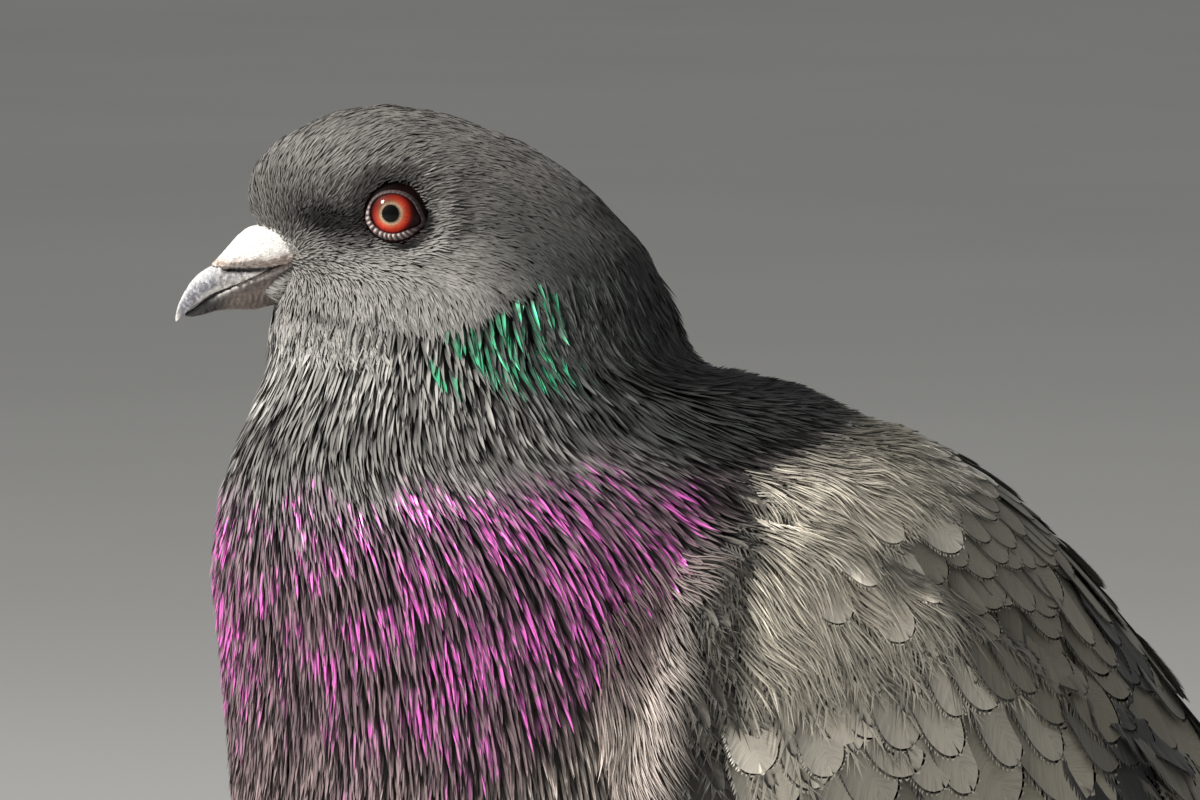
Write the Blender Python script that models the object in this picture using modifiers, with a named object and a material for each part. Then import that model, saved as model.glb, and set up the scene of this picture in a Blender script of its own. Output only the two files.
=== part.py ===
"""A feral rock pigeon standing alert with its head turned to its right: a still, life-size model.

Metres, +Z up. The bird faces -Y and its left side is at +X. Profiles are written in millimetres, as
height above the floor and as distance behind the upright axis of the neck. The last step moves the
whole bird so that the origin is on the floor under the middle of its box.
"""

import math
from collections import namedtuple

import bmesh
import bpy
import numpy as np
from mathutils import Matrix, Vector

MM = 0.001
GAP = 0.3                     # clearance between neighbouring pieces, mm
SIDES = (("left", 1), ("right", -1))

# Head
EYE_HEIGHT = 204.0            # centre of the eye above the floor
HEAD_TURN = 38.0              # degrees, towards the bird's right
EYE_AHEAD = 11.0              # eye in front of the neck's axis
EYE_OUT = 7.3                 # centre of the eyeball from the head's middle plane
EYE_RADIUS = 5.0
EYE_LOOKS_AHEAD = 9.0         # degrees that the eye's axis leans forwards
LID_OPENING = 3.4             # radius of the opening between the lids
LID_OUTER = 4.3               # radius of the fleshy eye ring
EYE_SIDES = 14
LID_HEIGHT = 0.6              # how far the eye ring stands up from the eyeball
LID_CLEARANCE = 0.1           # between the eye ring and the eyeball
SOCKET_REACH = 11.0           # how far the cutter of a socket reaches out of the head
BILL_SIDES = 12
CERE_SIDES = 10

# Body: rings from the crown to the end of the rump
RING_SIDES = 28

# Tail
TAIL_START = 140.0            # inside the rump, behind the neck's axis
TAIL_TIP = (207.0, 32.0)      # behind the neck's axis, above the floor
TAIL_SLOPE = 38.0             # degrees below the horizontal
TAIL_HALF_WIDTH = (11.0, 26.0)
TAIL_THICKNESS = (4.5, 1.2)
TAIL_ARCH = 5.0               # how far the outer feathers lie below the middle ones
TAIL_ROUNDING = 6.0           # how much shorter the outermost feathers are
TAIL_FEATHERS = 12
TAIL_SCALLOP = 1.6            # depth of the notch between two feather tips

# Legs, for the left side
FOOT = (18.0, 50.0)           # root of the toes, from the middle plane and behind the neck's axis
FOOT_PAD_RADIUS = 4.8
ANKLE_HEIGHT = 38.6
TOE_RADIUS = 2.3
TOE_TAPER = 0.28              # how much thinner a toe is at its end
TOE_PAD = 0.16                # how far the pads under a toe swell
TOE_SINK = 0.86               # height of a toe's middle, in its own radii: it presses flat below
CLAW_LENGTH = 6.5
CLAW_RADIUS = 1.15
CLAW_HEIGHT = 1.8             # of the middle of a claw's root above the floor
CLAW_BEND = 62.0              # degrees that a claw turns through
CLAW_DROP = 0.42

Station = namedtuple("Station", "front back half_width turn square taper")
Round = namedtuple("Round", "x y z half_width half_length")
Toe = namedtuple("Toe", "name length heading")

# Rings of the feathered thigh, and of the bare shank below it, from the top down
THIGH = [
    Round(18.0, 50.0, 86.0, 13.0, 20.0),
    Round(19.5, 53.0, 68.0, 12.4, 18.0),
    Round(20.3, 57.0, 54.0, 9.4, 12.5),
    Round(20.2, 60.0, 44.5, 5.8, 7.2),
    Round(20.0, 61.0, ANKLE_HEIGHT + GAP, 3.7, 4.3),
]
SHANK = [
    Round(20.0, 61.0, ANKLE_HEIGHT, 3.2, 3.7),
    Round(19.8, 60.2, 35.0, 2.9, 3.5),
    Round(19.3, 57.2, 27.0, 2.1, 2.5),
    Round(18.8, 54.2, 18.0, 2.0, 2.4),
    Round(18.2, 51.4, 9.5, 2.4, 2.7),
    Round(FOOT[0], FOOT[1], 5.0, 3.6, 3.6),
    Round(FOOT[0], FOOT[1], 2.6, FOOT_PAD_RADIUS, FOOT_PAD_RADIUS),
    Round(FOOT[0], FOOT[1], 0.0, FOOT_PAD_RADIUS - 0.7, FOOT_PAD_RADIUS - 0.7),
]
# Length from the root to the claw, and heading from straight ahead, outwards positive
TOES = [
    Toe("middle", 27.0, 4.0),
    Toe("inner", 20.5, -33.0),
    Toe("outer", 22.5, 42.0),
    Toe("hind", 16.5, 176.0),
]

# Each ring of the body runs from a point on the front or belly to one on the crown or back, both as
# (behind the neck's axis, above the floor). turn is how much of the head's turn the ring shares,
# and taper how much narrower than an even oval it is in front.
BODY = [
    Station((-13.0, 218.2), (-12.9, 218.2), 0.05, 1.0, 2.0, 0.0),
    Station((-20.0, 216.9), (-5.4, 217.0), 5.4, 1.0, 2.0, 0.0),
    Station((-24.6, 214.8), (0.8, 215.0), 8.6, 1.0, 2.0, 0.02),
    Station((-28.0, 212.6), (6.2, 212.8), 10.4, 1.0, 2.0, 0.05),
    Station((-30.4, 209.8), (10.9, 209.9), 11.5, 1.0, 2.05, 0.08),
    Station((-31.4, 206.8), (15.2, 206.6), 12.0, 1.0, 2.1, 0.12),
    Station((-31.2, 203.6), (18.7, 203.0), 12.4, 1.0, 2.1, 0.18),
    Station((-29.2, 199.6), (22.5, 198.8), 13.1, 1.0, 2.1, 0.26),
    Station((-27.4, 195.4), (24.8, 194.5), 14.6, 1.0, 2.1, 0.28),
    Station((-28.4, 191.4), (26.7, 190.3), 17.0, 1.0, 2.1, 0.22),
    Station((-28.6, 187.4), (28.0, 186.6), 20.6, 0.98, 2.1, 0.12),
    Station((-28.6, 183.0), (29.4, 183.6), 24.4, 0.85, 2.05, 0.05),
    Station((-30.2, 178.0), (32.6, 181.2), 28.0, 0.6, 2.0, 0.0),
    Station((-32.8, 172.0), (40.0, 179.6), 32.2, 0.33, 2.0, 0.0),
    Station((-34.6, 165.0), (50.0, 177.0), 37.0, 0.12, 2.05, 0.0),
    Station((-35.1, 154.5), (62.0, 171.6), 42.0, 0.0, 2.1, 0.0),
    Station((-33.2, 143.0), (74.0, 163.8), 45.2, 0.0, 2.15, 0.0),
    Station((-31.8, 130.5), (85.0, 154.8), 47.2, 0.0, 2.15, 0.0),
    Station((-29.4, 114.5), (95.0, 145.2), 48.0, 0.0, 2.15, 0.0),
    Station((-18.0, 98.5), (104.5, 135.2), 48.0, 0.0, 2.1, 0.0),
    Station((3.5, 83.5), (113.5, 125.2), 46.5, 0.0, 2.1, 0.0),
    Station((28.5, 71.5), (122.0, 115.4), 44.0, 0.0, 2.05, 0.0),
    Station((54.0, 63.5), (130.5, 106.4), 39.5, 0.0, 2.0, 0.0),
    Station((79.0, 58.5), (139.0, 98.0), 33.0, 0.0, 2.0, 0.0),
    Station((102.0, 58.0), (147.0, 90.4), 26.0, 0.0, 2.0, 0.0),
    Station((122.0, 61.5), (155.0, 83.0), 19.0, 0.0, 2.0, 0.0),
    Station((138.0, 66.0), (160.5, 78.0), 13.0, 0.0, 2.0, 0.0),
    Station((150.0, 69.0), (162.5, 75.5), 8.0, 0.0, 2.0, 0.0),
]
# The body is parted by thin cuts: each length's first and last place in the list of rings, and the
# step between its own rings
CUT = 0.03                    # half of a cut, in steps between rings
SPANS = (
    ("head", 0.0, 9.4 - CUT, 1.0),
    ("neck", 9.4 + CUT, 14.3 - CUT, 1.0),
    ("breast", 14.3 + CUT, 18.6 - CUT, 0.5),
    ("belly", 18.6 + CUT, 23.4 - CUT, 0.5),
    ("rump", 23.4 + CUT, len(BODY) - 1.0, 1.0),
)


def unit(vector):
    return vector / np.linalg.norm(vector)


def along(rows, place):
    """The rows' values at a place between them, on a smooth curve through every row."""
    last = len(rows) - 1
    place = min(max(place, 0.0), float(last))
    start = min(int(place), last - 1)
    f = place - start
    before = rows[start - 1] if start else 2 * rows[0] - rows[1]
    after = rows[start + 2] if start + 2 <= last else 2 * rows[last] - rows[last - 1]
    a, b = rows[start], rows[start + 1]
    from_a, to_b = (b - before) / 2, (after - a) / 2
    return (
        a * (2 * f**3 - 3 * f**2 + 1)
        + from_a * (f**3 - 2 * f**2 + f)
        + b * (3 * f**2 - 2 * f**3)
        + to_b * (f**3 - f**2)
    )


def turned(point, degrees):
    """The point turned about the neck's upright axis, towards the bird's right."""
    angle = math.radians(-degrees)
    x, y, z = point
    return np.array([
        x * math.cos(angle) - y * math.sin(angle),
        x * math.sin(angle) + y * math.cos(angle),
        z,
    ])


def rows_of(stations):
    return [np.array([*s.front, *s.back, s.half_width, s.turn, s.square, s.taper]) for s in stations]


BODY_ROWS = rows_of(BODY)


def on_ring(rows, place, angle):
    """A point of a loft's surface: angle 0 is at the front or belly, 90 on the left, 180 at the back."""
    fy, fz, by, bz, half_width, turn, square, taper = along(rows, place)
    cos, sin = math.cos(math.radians(angle)), math.sin(math.radians(angle))
    lengthwise = math.copysign(abs(cos) ** (2 / square), cos)
    sideways = math.copysign(abs(sin) ** (2 / square), sin)
    point = (
        half_width * sideways * (1 - taper * lengthwise),
        (fy + by) / 2 - (by - fy) / 2 * lengthwise,
        (fz + bz) / 2 - (bz - fz) / 2 * lengthwise,
    )
    return turned(point, turn * HEAD_TURN)


def outside(rows, place, angle, outset):
    """The same point moved off the surface, along its normal."""
    here = on_ring(rows, place, angle)
    if not outset:
        return here
    step = 0.02
    lengthwise = on_ring(rows, place + step, angle) - on_ring(rows, place - step, angle)
    round_it = on_ring(rows, place, angle + 1.0) - on_ring(rows, place, angle - 1.0)
    normal = unit(np.cross(lengthwise, round_it))
    middle = (on_ring(rows, place, 0.0) + on_ring(rows, place, 180.0)) / 2
    return here + normal * math.copysign(outset, normal @ (here - middle))


# ------------------------------------------------------------------ meshes


def mesh_object(name, points, faces, collection):
    mesh = bpy.data.meshes.new(name)
    mesh.from_pydata([tuple(float(v) * MM for v in p) for p in points], [], faces)
    form = bmesh.new()
    form.from_mesh(mesh)
    bmesh.ops.remove_doubles(form, verts=form.verts, dist=1e-6)
    bmesh.ops.dissolve_degenerate(form, edges=form.edges, dist=1e-6)
    bmesh.ops.recalc_face_normals(form, faces=form.faces)
    form.to_mesh(mesh)
    form.free()
    mesh.shade_smooth()
    mesh.set_sharp_from_angle(angle=math.radians(50))
    piece = bpy.data.objects.new(name, mesh)
    collection.objects.link(piece)
    return piece


def loft(name, rings, collection):
    """A closed solid through rings of equal length. A ring of one point is a tip."""
    points, starts = [], []
    for ring in rings:
        starts.append(len(points))
        points.extend(ring)
    faces = []
    for i in range(len(rings) - 1):
        a, b, n, m = starts[i], starts[i + 1], len(rings[i]), len(rings[i + 1])
        for j in range(max(n, m)):
            k = (j + 1) % max(n, m)
            if n == 1:
                faces.append((a, b + j, b + k))
            elif m == 1:
                faces.append((a + j, b, a + k))
            else:
                faces.append((a + j, b + j, b + k, a + k))
    if len(rings[0]) > 1:
        faces.append(tuple(range(starts[0], starts[0] + len(rings[0]))))
    if len(rings[-1]) > 1:
        faces.append(tuple(reversed(range(starts[-1], starts[-1] + len(rings[-1])))))
    return mesh_object(name, points, faces, collection)


def slab(name, outer, inner, collection):
    """A closed solid between two grids of points of the same size."""
    outer, inner = np.asarray(outer), np.asarray(inner)
    rows, columns = outer.shape[:2]
    points = [*outer.reshape(-1, 3), *inner.reshape(-1, 3)]
    under = rows * columns

    def at(i, j):
        return i * columns + j

    faces = []
    for i in range(rows - 1):
        for j in range(columns - 1):
            quad = (at(i, j), at(i, j + 1), at(i + 1, j + 1), at(i + 1, j))
            faces.append(quad)
            faces.append(tuple(under + v for v in reversed(quad)))
    border = [at(0, j) for j in range(columns - 1)]
    border += [at(i, columns - 1) for i in range(rows - 1)]
    border += [at(rows - 1, j) for j in range(columns - 1, 0, -1)]
    border += [at(i, 0) for i in range(rows - 1, 0, -1)]
    for a, b in zip(border, border[1:] + border[:1]):
        faces.append((b, a, under + a, under + b))
    return mesh_object(name, points, faces, collection)


def ring_angles(sides=RING_SIDES):
    return [360.0 * i / sides for i in range(sides)]


def body_places(first, last, step):
    """The two ends of a span of the body, and the places a step apart between them."""
    inner = np.arange(math.floor(first / step) * step, last, step)
    return [first, *[p for p in inner if first + 0.12 < p < last - 0.12], last]


def body_rings(first, last, step):
    return [
        [on_ring(BODY_ROWS, place, angle) for angle in ring_angles()]
        for place in body_places(first, last, step)
    ]


def tip_of(ring):
    return [np.mean(ring, axis=0)]


def cut(piece, *cutters):
    for cutter in cutters:
        modifier = piece.modifiers.new("cut", "BOOLEAN")
        modifier.operation = "DIFFERENCE"
        modifier.object = cutter
        modifier.solver = "EXACT"


def cutter_of(piece):
    piece.hide_render = True
    piece.display_type = "WIRE"
    return piece


def paint(piece, name, colour, roughness, metallic=0.0):
    material = bpy.data.materials.get(name)
    if material is None:
        material = bpy.data.materials.new(name)
        material.use_nodes = True
        shader = material.node_tree.nodes["Principled BSDF"]
        shader.inputs["Base Color"].default_value = (*colour, 1.0)
        shader.inputs["Roughness"].default_value = roughness
        shader.inputs["Metallic"].default_value = metallic
        material.diffuse_color = (*colour, 1.0)
    piece.data.materials.append(material)


FINISHES = {
    "head_plumage": ((0.13, 0.125, 0.12), 0.7),
    "neck_plumage": ((0.10, 0.14, 0.12), 0.5),
    "breast_plumage": ((0.22, 0.10, 0.19), 0.5),
    "belly_plumage": ((0.32, 0.32, 0.33), 0.75),
    "wing_plumage": ((0.36, 0.36, 0.37), 0.75),
    "rump_plumage": ((0.6, 0.6, 0.62), 0.8),
    "flight_feathers": ((0.16, 0.16, 0.18), 0.6),
    "tail_feathers": ((0.2, 0.2, 0.23), 0.6),
    "eye": ((0.55, 0.12, 0.04), 0.1),
    "eye_ring": ((0.3, 0.26, 0.26), 0.6),
    "bill_horn": ((0.09, 0.09, 0.11), 0.4),
    "cere": ((0.8, 0.77, 0.75), 0.85),
    "leg_skin": ((0.5, 0.12, 0.12), 0.6),
    "claw": ((0.06, 0.05, 0.05), 0.4),
}


def finish(piece, name):
    paint(piece, name, *FINISHES[name])
    return piece


# ------------------------------------------------------------------ head, neck and trunk


def make_body(parts, tools):
    places = [0.0]
    for _, first, last, step in SPANS:
        places += [p for p in body_places(first, last, step) if p > places[-1] + CUT]
    whole = [
        [outside(BODY_ROWS, place, angle, GAP) for angle in ring_angles()] for place in places
    ]
    quarter = RING_SIDES // 4
    beyond = unit(np.cross(whole[-1][quarter] - whole[-1][0], whole[-1][2 * quarter] - whole[-1][0]))
    beyond = beyond * math.copysign(2 * GAP, beyond[1])
    whole = [tip_of(whole[0]) + GAP * np.array([0, 0, 1]), *whole[1:], whole[-1] + beyond]
    clearance = cutter_of(loft("body_clearance", whole, tools))
    head_rings = body_rings(*SPANS[0][1:])
    head = finish(
        loft("head", [tip_of(head_rings[0]), *head_rings[1:]], parts), "head_plumage"
    )
    for side, sign in SIDES:
        cut(head, eye_socket(side, sign, tools))
    for name, first, last, step in SPANS[1:]:
        finish(loft(name, body_rings(first, last, step), parts), f"{name}_plumage")
    return clearance


# ------------------------------------------------------------------ eyes


def eye_matrix(sign):
    """The place of an eyeball, with the way that it looks as its own Z axis."""
    lean = math.radians(EYE_LOOKS_AHEAD)
    centre = turned((sign * EYE_OUT, -EYE_AHEAD, EYE_HEIGHT), HEAD_TURN)
    axis = turned((sign * math.cos(lean), -math.sin(lean), 0.0), HEAD_TURN)
    turn = Vector(axis).to_track_quat("Z", "Y").to_matrix().to_4x4()
    return Matrix.Translation(Vector(centre) * MM) @ turn


def turned_object(name, profile, ring, sign, collection):
    """A form turned about an eye's axis from (radius, distance along the axis) pairs. The profile
    runs down its outer side, and a ring's profile is closed."""
    points = [(radius * MM, 0.0, reach * MM) for radius, reach in profile]
    edges = [(i, i + 1) for i in range(len(points) - 1)]
    if ring:
        edges.append((len(points) - 1, 0))
    mesh = bpy.data.meshes.new(name)
    mesh.from_pydata(points, edges, [])
    piece = bpy.data.objects.new(name, mesh)
    collection.objects.link(piece)
    piece.matrix_basis = eye_matrix(sign)
    screw = piece.modifiers.new("turn", "SCREW")
    screw.axis = "Z"
    screw.steps = screw.render_steps = EYE_SIDES
    screw.use_merge_vertices = True
    screw.merge_threshold = 1e-6
    return piece


def eye_socket(side, sign, tools):
    """The eyeball's hollow with a round mouth in which the eye ring lies."""
    seat = EYE_RADIUS + GAP
    mouth = LID_OUTER + GAP
    reach = SOCKET_REACH
    hollow = [
        (seat * math.sin(a), seat * math.cos(a))
        for a in np.linspace(math.asin(mouth / seat), math.pi, 6)
    ]
    hollow[-1] = (0.0, -seat)
    profile = [(0.0, reach), (mouth, reach), *hollow]
    return cutter_of(turned_object(f"socket_{side}", profile, False, sign, tools))


def make_eyes(parts):
    for side, sign in SIDES:
        form = bmesh.new()
        bmesh.ops.create_uvsphere(
            form, u_segments=EYE_SIDES, v_segments=EYE_SIDES // 2, radius=EYE_RADIUS * MM
        )
        mesh = bpy.data.meshes.new(f"eye_{side}")
        form.to_mesh(mesh)
        form.free()
        mesh.shade_smooth()
        ball = bpy.data.objects.new(f"eye_{side}", mesh)
        parts.objects.link(ball)
        ball.matrix_basis = eye_matrix(sign)
        finish(ball, "eye")

        seat = EYE_RADIUS + GAP
        inner = math.sqrt(seat**2 - LID_OPENING**2)
        outer = math.sqrt(seat**2 - LID_OUTER**2)
        between = (LID_OUTER + LID_OPENING) / 2
        section = [
            (LID_OPENING + 0.4 * LID_HEIGHT, inner + LID_HEIGHT),
            (LID_OUTER - LID_CLEARANCE, inner + LID_CLEARANCE),
            (LID_OUTER, outer + LID_CLEARANCE / 2),
            (between, (outer + inner) / 2 + LID_CLEARANCE),
            (LID_OPENING, inner + LID_CLEARANCE),
            (LID_OPENING + LID_CLEARANCE, inner + 0.9 * LID_HEIGHT),
        ]
        finish(turned_object(f"eye_ring_{side}", section, True, sign, parts), "eye_ring")


# ------------------------------------------------------------------ bill and cere

UPPER_BILL = [
    Station((-20.0, 196.6), (-21.5, 200.0), 3.4, 1.0, 2.2, 0.0),
    Station((-27.0, 194.6), (-28.2, 198.4), 3.7, 1.0, 2.2, 0.0),
    Station((-31.8, 193.2), (-32.8, 197.2), 3.3, 1.0, 2.2, 0.0),
    Station((-35.2, 191.9), (-35.9, 196.3), 2.8, 1.0, 2.1, 0.0),
    Station((-37.8, 190.4), (-38.7, 194.6), 2.35, 1.0, 2.0, 0.0),
    Station((-39.7, 189.0), (-40.5, 192.4), 1.75, 1.0, 2.0, 0.0),
    Station((-40.8, 188.4), (-41.3, 190.4), 1.0, 1.0, 2.0, 0.0),
    Station((-41.4, 188.2), (-41.6, 188.9), 0.35, 1.0, 2.0, 0.0),
]
LOWER_BILL = [
    Station((-19.0, 193.0), (-20.6, 195.7), 3.4, 1.0, 2.2, 0.0),
    Station((-27.0, 190.8), (-28.0, 193.8), 3.5, 1.0, 2.2, 0.0),
    Station((-32.2, 189.9), (-32.9, 192.3), 2.9, 1.0, 2.1, 0.0),
    Station((-35.4, 189.3), (-36.2, 190.8), 2.3, 1.0, 2.0, 0.0),
    Station((-38.0, 188.7), (-38.6, 189.3), 1.5, 1.0, 2.0, 0.0),
    Station((-39.2, 188.3), (-39.4, 188.55), 0.6, 1.0, 2.0, 0.0),
]
CERE = [
    Station((-23.0, 196.6), (-23.8, 199.2), 1.1, 1.0, 2.0, 0.0),
    Station((-25.6, 195.9), (-26.6, 200.7), 2.6, 1.0, 2.0, 0.0),
    Station((-28.8, 195.4), (-29.9, 201.4), 3.0, 1.0, 2.0, 0.0),
    Station((-31.9, 195.1), (-32.5, 200.6), 2.7, 1.0, 2.0, 0.0),
    Station((-34.4, 195.0), (-34.8, 198.2), 1.9, 1.0, 2.0, 0.0),
    Station((-35.6, 195.4), (-35.9, 196.6), 0.9, 1.0, 2.0, 0.0),
]
CERE_APART = 2.1              # middle of each lobe of the cere from the middle plane
CERE_SPLAY = 1.6              # how much further from it the lobes are behind
BLOCK = (20.0, 60.0, 40.0)    # of the cutters that part the two lobes


def station_rings(stations, sides, outset=0.0, step=0.5, shift=None):
    rows = rows_of(stations)
    rings = []
    for place in np.arange(0.0, len(stations) - 1 + step / 2, step):
        ring = [outside(rows, place, angle, outset) for angle in ring_angles(sides)]
        if shift:
            ring = [point + turned(shift(place), HEAD_TURN) for point in ring]
        rings.append(ring)
    return rings


def make_bill(parts, tools, clearance):
    upper = finish(loft("bill_upper", station_rings(UPPER_BILL, BILL_SIDES), parts), "bill_horn")
    lower = finish(loft("bill_lower", station_rings(LOWER_BILL, BILL_SIDES), parts), "bill_horn")
    upper_room = cutter_of(
        loft("bill_clearance", station_rings(UPPER_BILL, BILL_SIDES, outset=GAP), tools)
    )
    cut(upper, clearance)
    cut(lower, clearance)
    for side, sign in SIDES:
        def apart(place, sign=sign):
            behind = 1 - place / (len(CERE) - 1)
            return (sign * (CERE_APART + CERE_SPLAY * behind), 0.0, 0.0)

        rings = station_rings(CERE, CERE_SIDES, shift=apart)
        lobe = finish(loft(f"cere_{side}", rings, parts), "cere")
        cut(lobe, middle_plane(side, sign, tools), upper_room, clearance)


def middle_plane(side, sign, tools):
    """A block that keeps a lobe of the cere on its own side of the head's middle plane."""
    form = bmesh.new()
    bmesh.ops.create_cube(form, size=1.0)
    bmesh.ops.scale(form, vec=Vector(BLOCK) * MM, verts=form.verts)
    mesh = bpy.data.meshes.new(f"middle_{side}")
    form.to_mesh(mesh)
    form.free()
    block = bpy.data.objects.new(mesh.name, mesh)
    tools.objects.link(block)
    centre = turned((-sign * (BLOCK[0] / 2 - GAP / 2), -BLOCK[1] / 2, EYE_HEIGHT), HEAD_TURN)
    block.location = Vector(centre) * MM
    block.rotation_euler = (0.0, 0.0, math.radians(-HEAD_TURN))
    return cutter_of(block)


# ------------------------------------------------------------------ wings

# Each place is a ring of the body. A wing lies on the body between its lower edge and the scapulars.
WING_LOW = [(15.0, 80.0), (16.0, 70.0), (17.0, 62.0), (18.0, 56.0), (19.5, 56.0), (21.5, 60.0), (23.5, 62.0)]
WING_HIGH = [(15.0, 92.0), (16.0, 99.0), (17.0, 109.0), (18.0, 121.0), (19.5, 131.0), (20.5, 140.0),
             (21.5, 154.0), (22.6, 172.0), (23.5, 174.0)]
SCAPULAR_HIGH = [(14.6, 150.0), (16.0, 166.0), (18.0, 172.0), (20.0, 174.0), (22.0, 175.0)]
COVERTS = (15.0, 19.9)
SECONDARIES = (19.9, 22.6)
SCAPULARS = (14.6, 22.0)
SEAM = 0.4                    # half of the gap between wing and scapulars, degrees
# Depth of the feathers over the body: at an edge, and what the middle has over that
EDGE_DEPTH = 1.3
COVERT_DEPTH = 6.2
SECONDARY_DEPTH = (5.4, 3.4)  # at the first and last ring
SCAPULAR_DEPTH = 3.9
SLAB_LIFT = 0.45              # of the underside, over the body


def edge(pairs, place):
    return float(np.interp(place, [p for p, _ in pairs], [a for _, a in pairs]))


def swell(f):
    """0 at both ends of 0 to 1 and 1 over the middle, round at the ends."""
    return max(0.0, 1 - abs(2 * f - 1) ** 3) ** 0.6


def body_slab(name, places, low, high, thickness, columns, sign, parts, plumage):
    """A pad of feathers on the body, between two edges given as angles round its rings."""
    outer, inner = [], []
    for place in places:
        f = (place - places[0]) / (places[-1] - places[0])
        upper_row, lower_row = [], []
        for j in range(columns + 1):
            g = j / columns
            angle = sign * (low(place) + (high(place) - low(place)) * g)
            upper_row.append(outside(BODY_ROWS, place, angle, thickness(f, g)))
            lower_row.append(outside(BODY_ROWS, place, angle, SLAB_LIFT))
        outer.append(upper_row)
        inner.append(lower_row)
    return finish(slab(name, outer, inner, parts), plumage)


def covert_depth(f, g):
    return EDGE_DEPTH + COVERT_DEPTH * swell(0.06 + 0.5 * f) * crown(g)


def secondary_depth(f, g):
    return EDGE_DEPTH + (SECONDARY_DEPTH[0] + (SECONDARY_DEPTH[1] - SECONDARY_DEPTH[0]) * f) * crown(g)


def scapular_depth(f, g):
    return EDGE_DEPTH + SCAPULAR_DEPTH * swell(0.03 + 0.9 * f) * swell(0.3 + 0.69 * g)


def crown(g):
    """How full the wing is across, from its lower edge to the scapulars."""
    return swell(0.04 + 0.84 * g)


def low_edge(place):
    return edge(WING_LOW, place)


def high_edge(place):
    return edge(WING_HIGH, place) - SEAM


def scapular_edge(place):
    return edge(WING_HIGH, place) + SEAM


def scapular_top(place):
    return edge(SCAPULAR_HIGH, place)


def make_wings(parts):
    coverts = np.linspace(COVERTS[0], COVERTS[1] - CUT, 12)
    secondaries = np.linspace(SECONDARIES[0] + CUT, SECONDARIES[1], 7)
    scapulars = np.linspace(SCAPULARS[0], SCAPULARS[1], 14)
    for side, sign in SIDES:
        body_slab(f"wing_coverts_{side}", coverts, low_edge, high_edge, covert_depth, 8,
                  sign, parts, "wing_plumage")
        body_slab(f"wing_secondaries_{side}", secondaries, low_edge, high_edge, secondary_depth, 8,
                  sign, parts, "flight_feathers")
        body_slab(f"scapulars_{side}", scapulars, scapular_edge, scapular_top, scapular_depth, 5,
                  sign, parts, "wing_plumage")


# Edges of the bundle of primaries of the left wing behind the secondaries: below, and above
PRIMARIES_LOW = [(30.5, 122.0, 64.5), (25.5, 148.0, 62.0), (19.8, 168.0, 59.0), (13.5, 186.0, 50.2)]
PRIMARIES_HIGH = [(9.0, 151.0, 91.5), (8.5, 164.0, 79.5), (9.0, 177.0, 66.0), (11.5, 188.0, 52.0)]
PRIMARIES_LIFT = 3.3          # of the first ring, over the body
PRIMARIES_SWELL = (18.0, 9.0, 4.8, 2.6, 0.5)
PRIMARIES_THICK = (2.5, 2.5, 2.2, 1.7, 1.1)


def make_primaries(parts):
    start = SECONDARIES[1] + 2 * CUT
    for side, sign in SIDES:
        low_0 = outside(BODY_ROWS, start, sign * edge(WING_LOW, start), PRIMARIES_LIFT)
        high_0 = outside(BODY_ROWS, start, sign * edge(WING_HIGH, start), PRIMARIES_LIFT)
        mirrored = np.array([sign, 1.0, 1.0])
        low = [low_0, *[np.array(p) * mirrored for p in PRIMARIES_LOW]]
        high = [high_0, *[np.array(p) * mirrored for p in PRIMARIES_HIGH]]
        outer, inner = [], []
        rows, columns = 10, 5
        for i in range(rows + 1):
            place = (len(low) - 1) * i / rows
            a, b = along(low, place), along(high, place)
            step = along(low, place + 0.05) - along(low, place - 0.05)
            out = unit(np.cross(b - a, step)) * sign
            out = out if out[0] * sign > 0 else -out
            swelling = np.interp(place, range(5), PRIMARIES_SWELL)
            thick = np.interp(place, range(5), PRIMARIES_THICK)
            upper_row, lower_row = [], []
            for j in range(columns + 1):
                g = j / columns
                point = a + (b - a) * g + out * swelling * 4 * g * (1 - g)
                if i == 0:
                    angle = sign * (edge(WING_LOW, start) * (1 - g) + edge(WING_HIGH, start) * g)
                    point = outside(BODY_ROWS, start, angle, PRIMARIES_LIFT)
                    out = unit(point - outside(BODY_ROWS, start, angle, SLAB_LIFT))
                upper_row.append(point)
                lower_row.append(point - out * thick)
            outer.append(upper_row)
            inner.append(lower_row)
        finish(slab(f"wing_primaries_{side}", outer, inner, parts), "flight_feathers")


# ------------------------------------------------------------------ tail


def make_tail(parts, clearance):
    """The closed tail: a low arch of feathers, whose rounded tips end it."""
    outer, inner = [], []
    rows, columns = 3, 2 * TAIL_FEATHERS
    drop = math.tan(math.radians(TAIL_SLOPE))
    for i in range(rows + 1):
        f = i / rows
        half_width = TAIL_HALF_WIDTH[0] + (TAIL_HALF_WIDTH[1] - TAIL_HALF_WIDTH[0]) * f**1.5
        thick = TAIL_THICKNESS[0] + (TAIL_THICKNESS[1] - TAIL_THICKNESS[0]) * f
        upper_row, lower_row = [], []
        for j in range(columns + 1):
            g = 2 * j / columns - 1
            notch = TAIL_SCALLOP * (j % 2 == 0) * f**4
            short = TAIL_ROUNDING * abs(g) ** 3 * f
            y = TAIL_START + (TAIL_TIP[0] - TAIL_START) * f - notch - short
            z = TAIL_TIP[1] + (TAIL_TIP[0] - y) * drop - TAIL_ARCH * g * g
            upper_row.append(np.array([half_width * g, y, z]))
            lower_row.append(np.array([half_width * g, y - 0.6 * thick, z - 0.8 * thick]))
        outer.append(upper_row)
        inner.append(lower_row)
    tail = finish(slab("tail", outer, inner, parts), "tail_feathers")
    cut(tail, clearance)


# ------------------------------------------------------------------ legs


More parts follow.
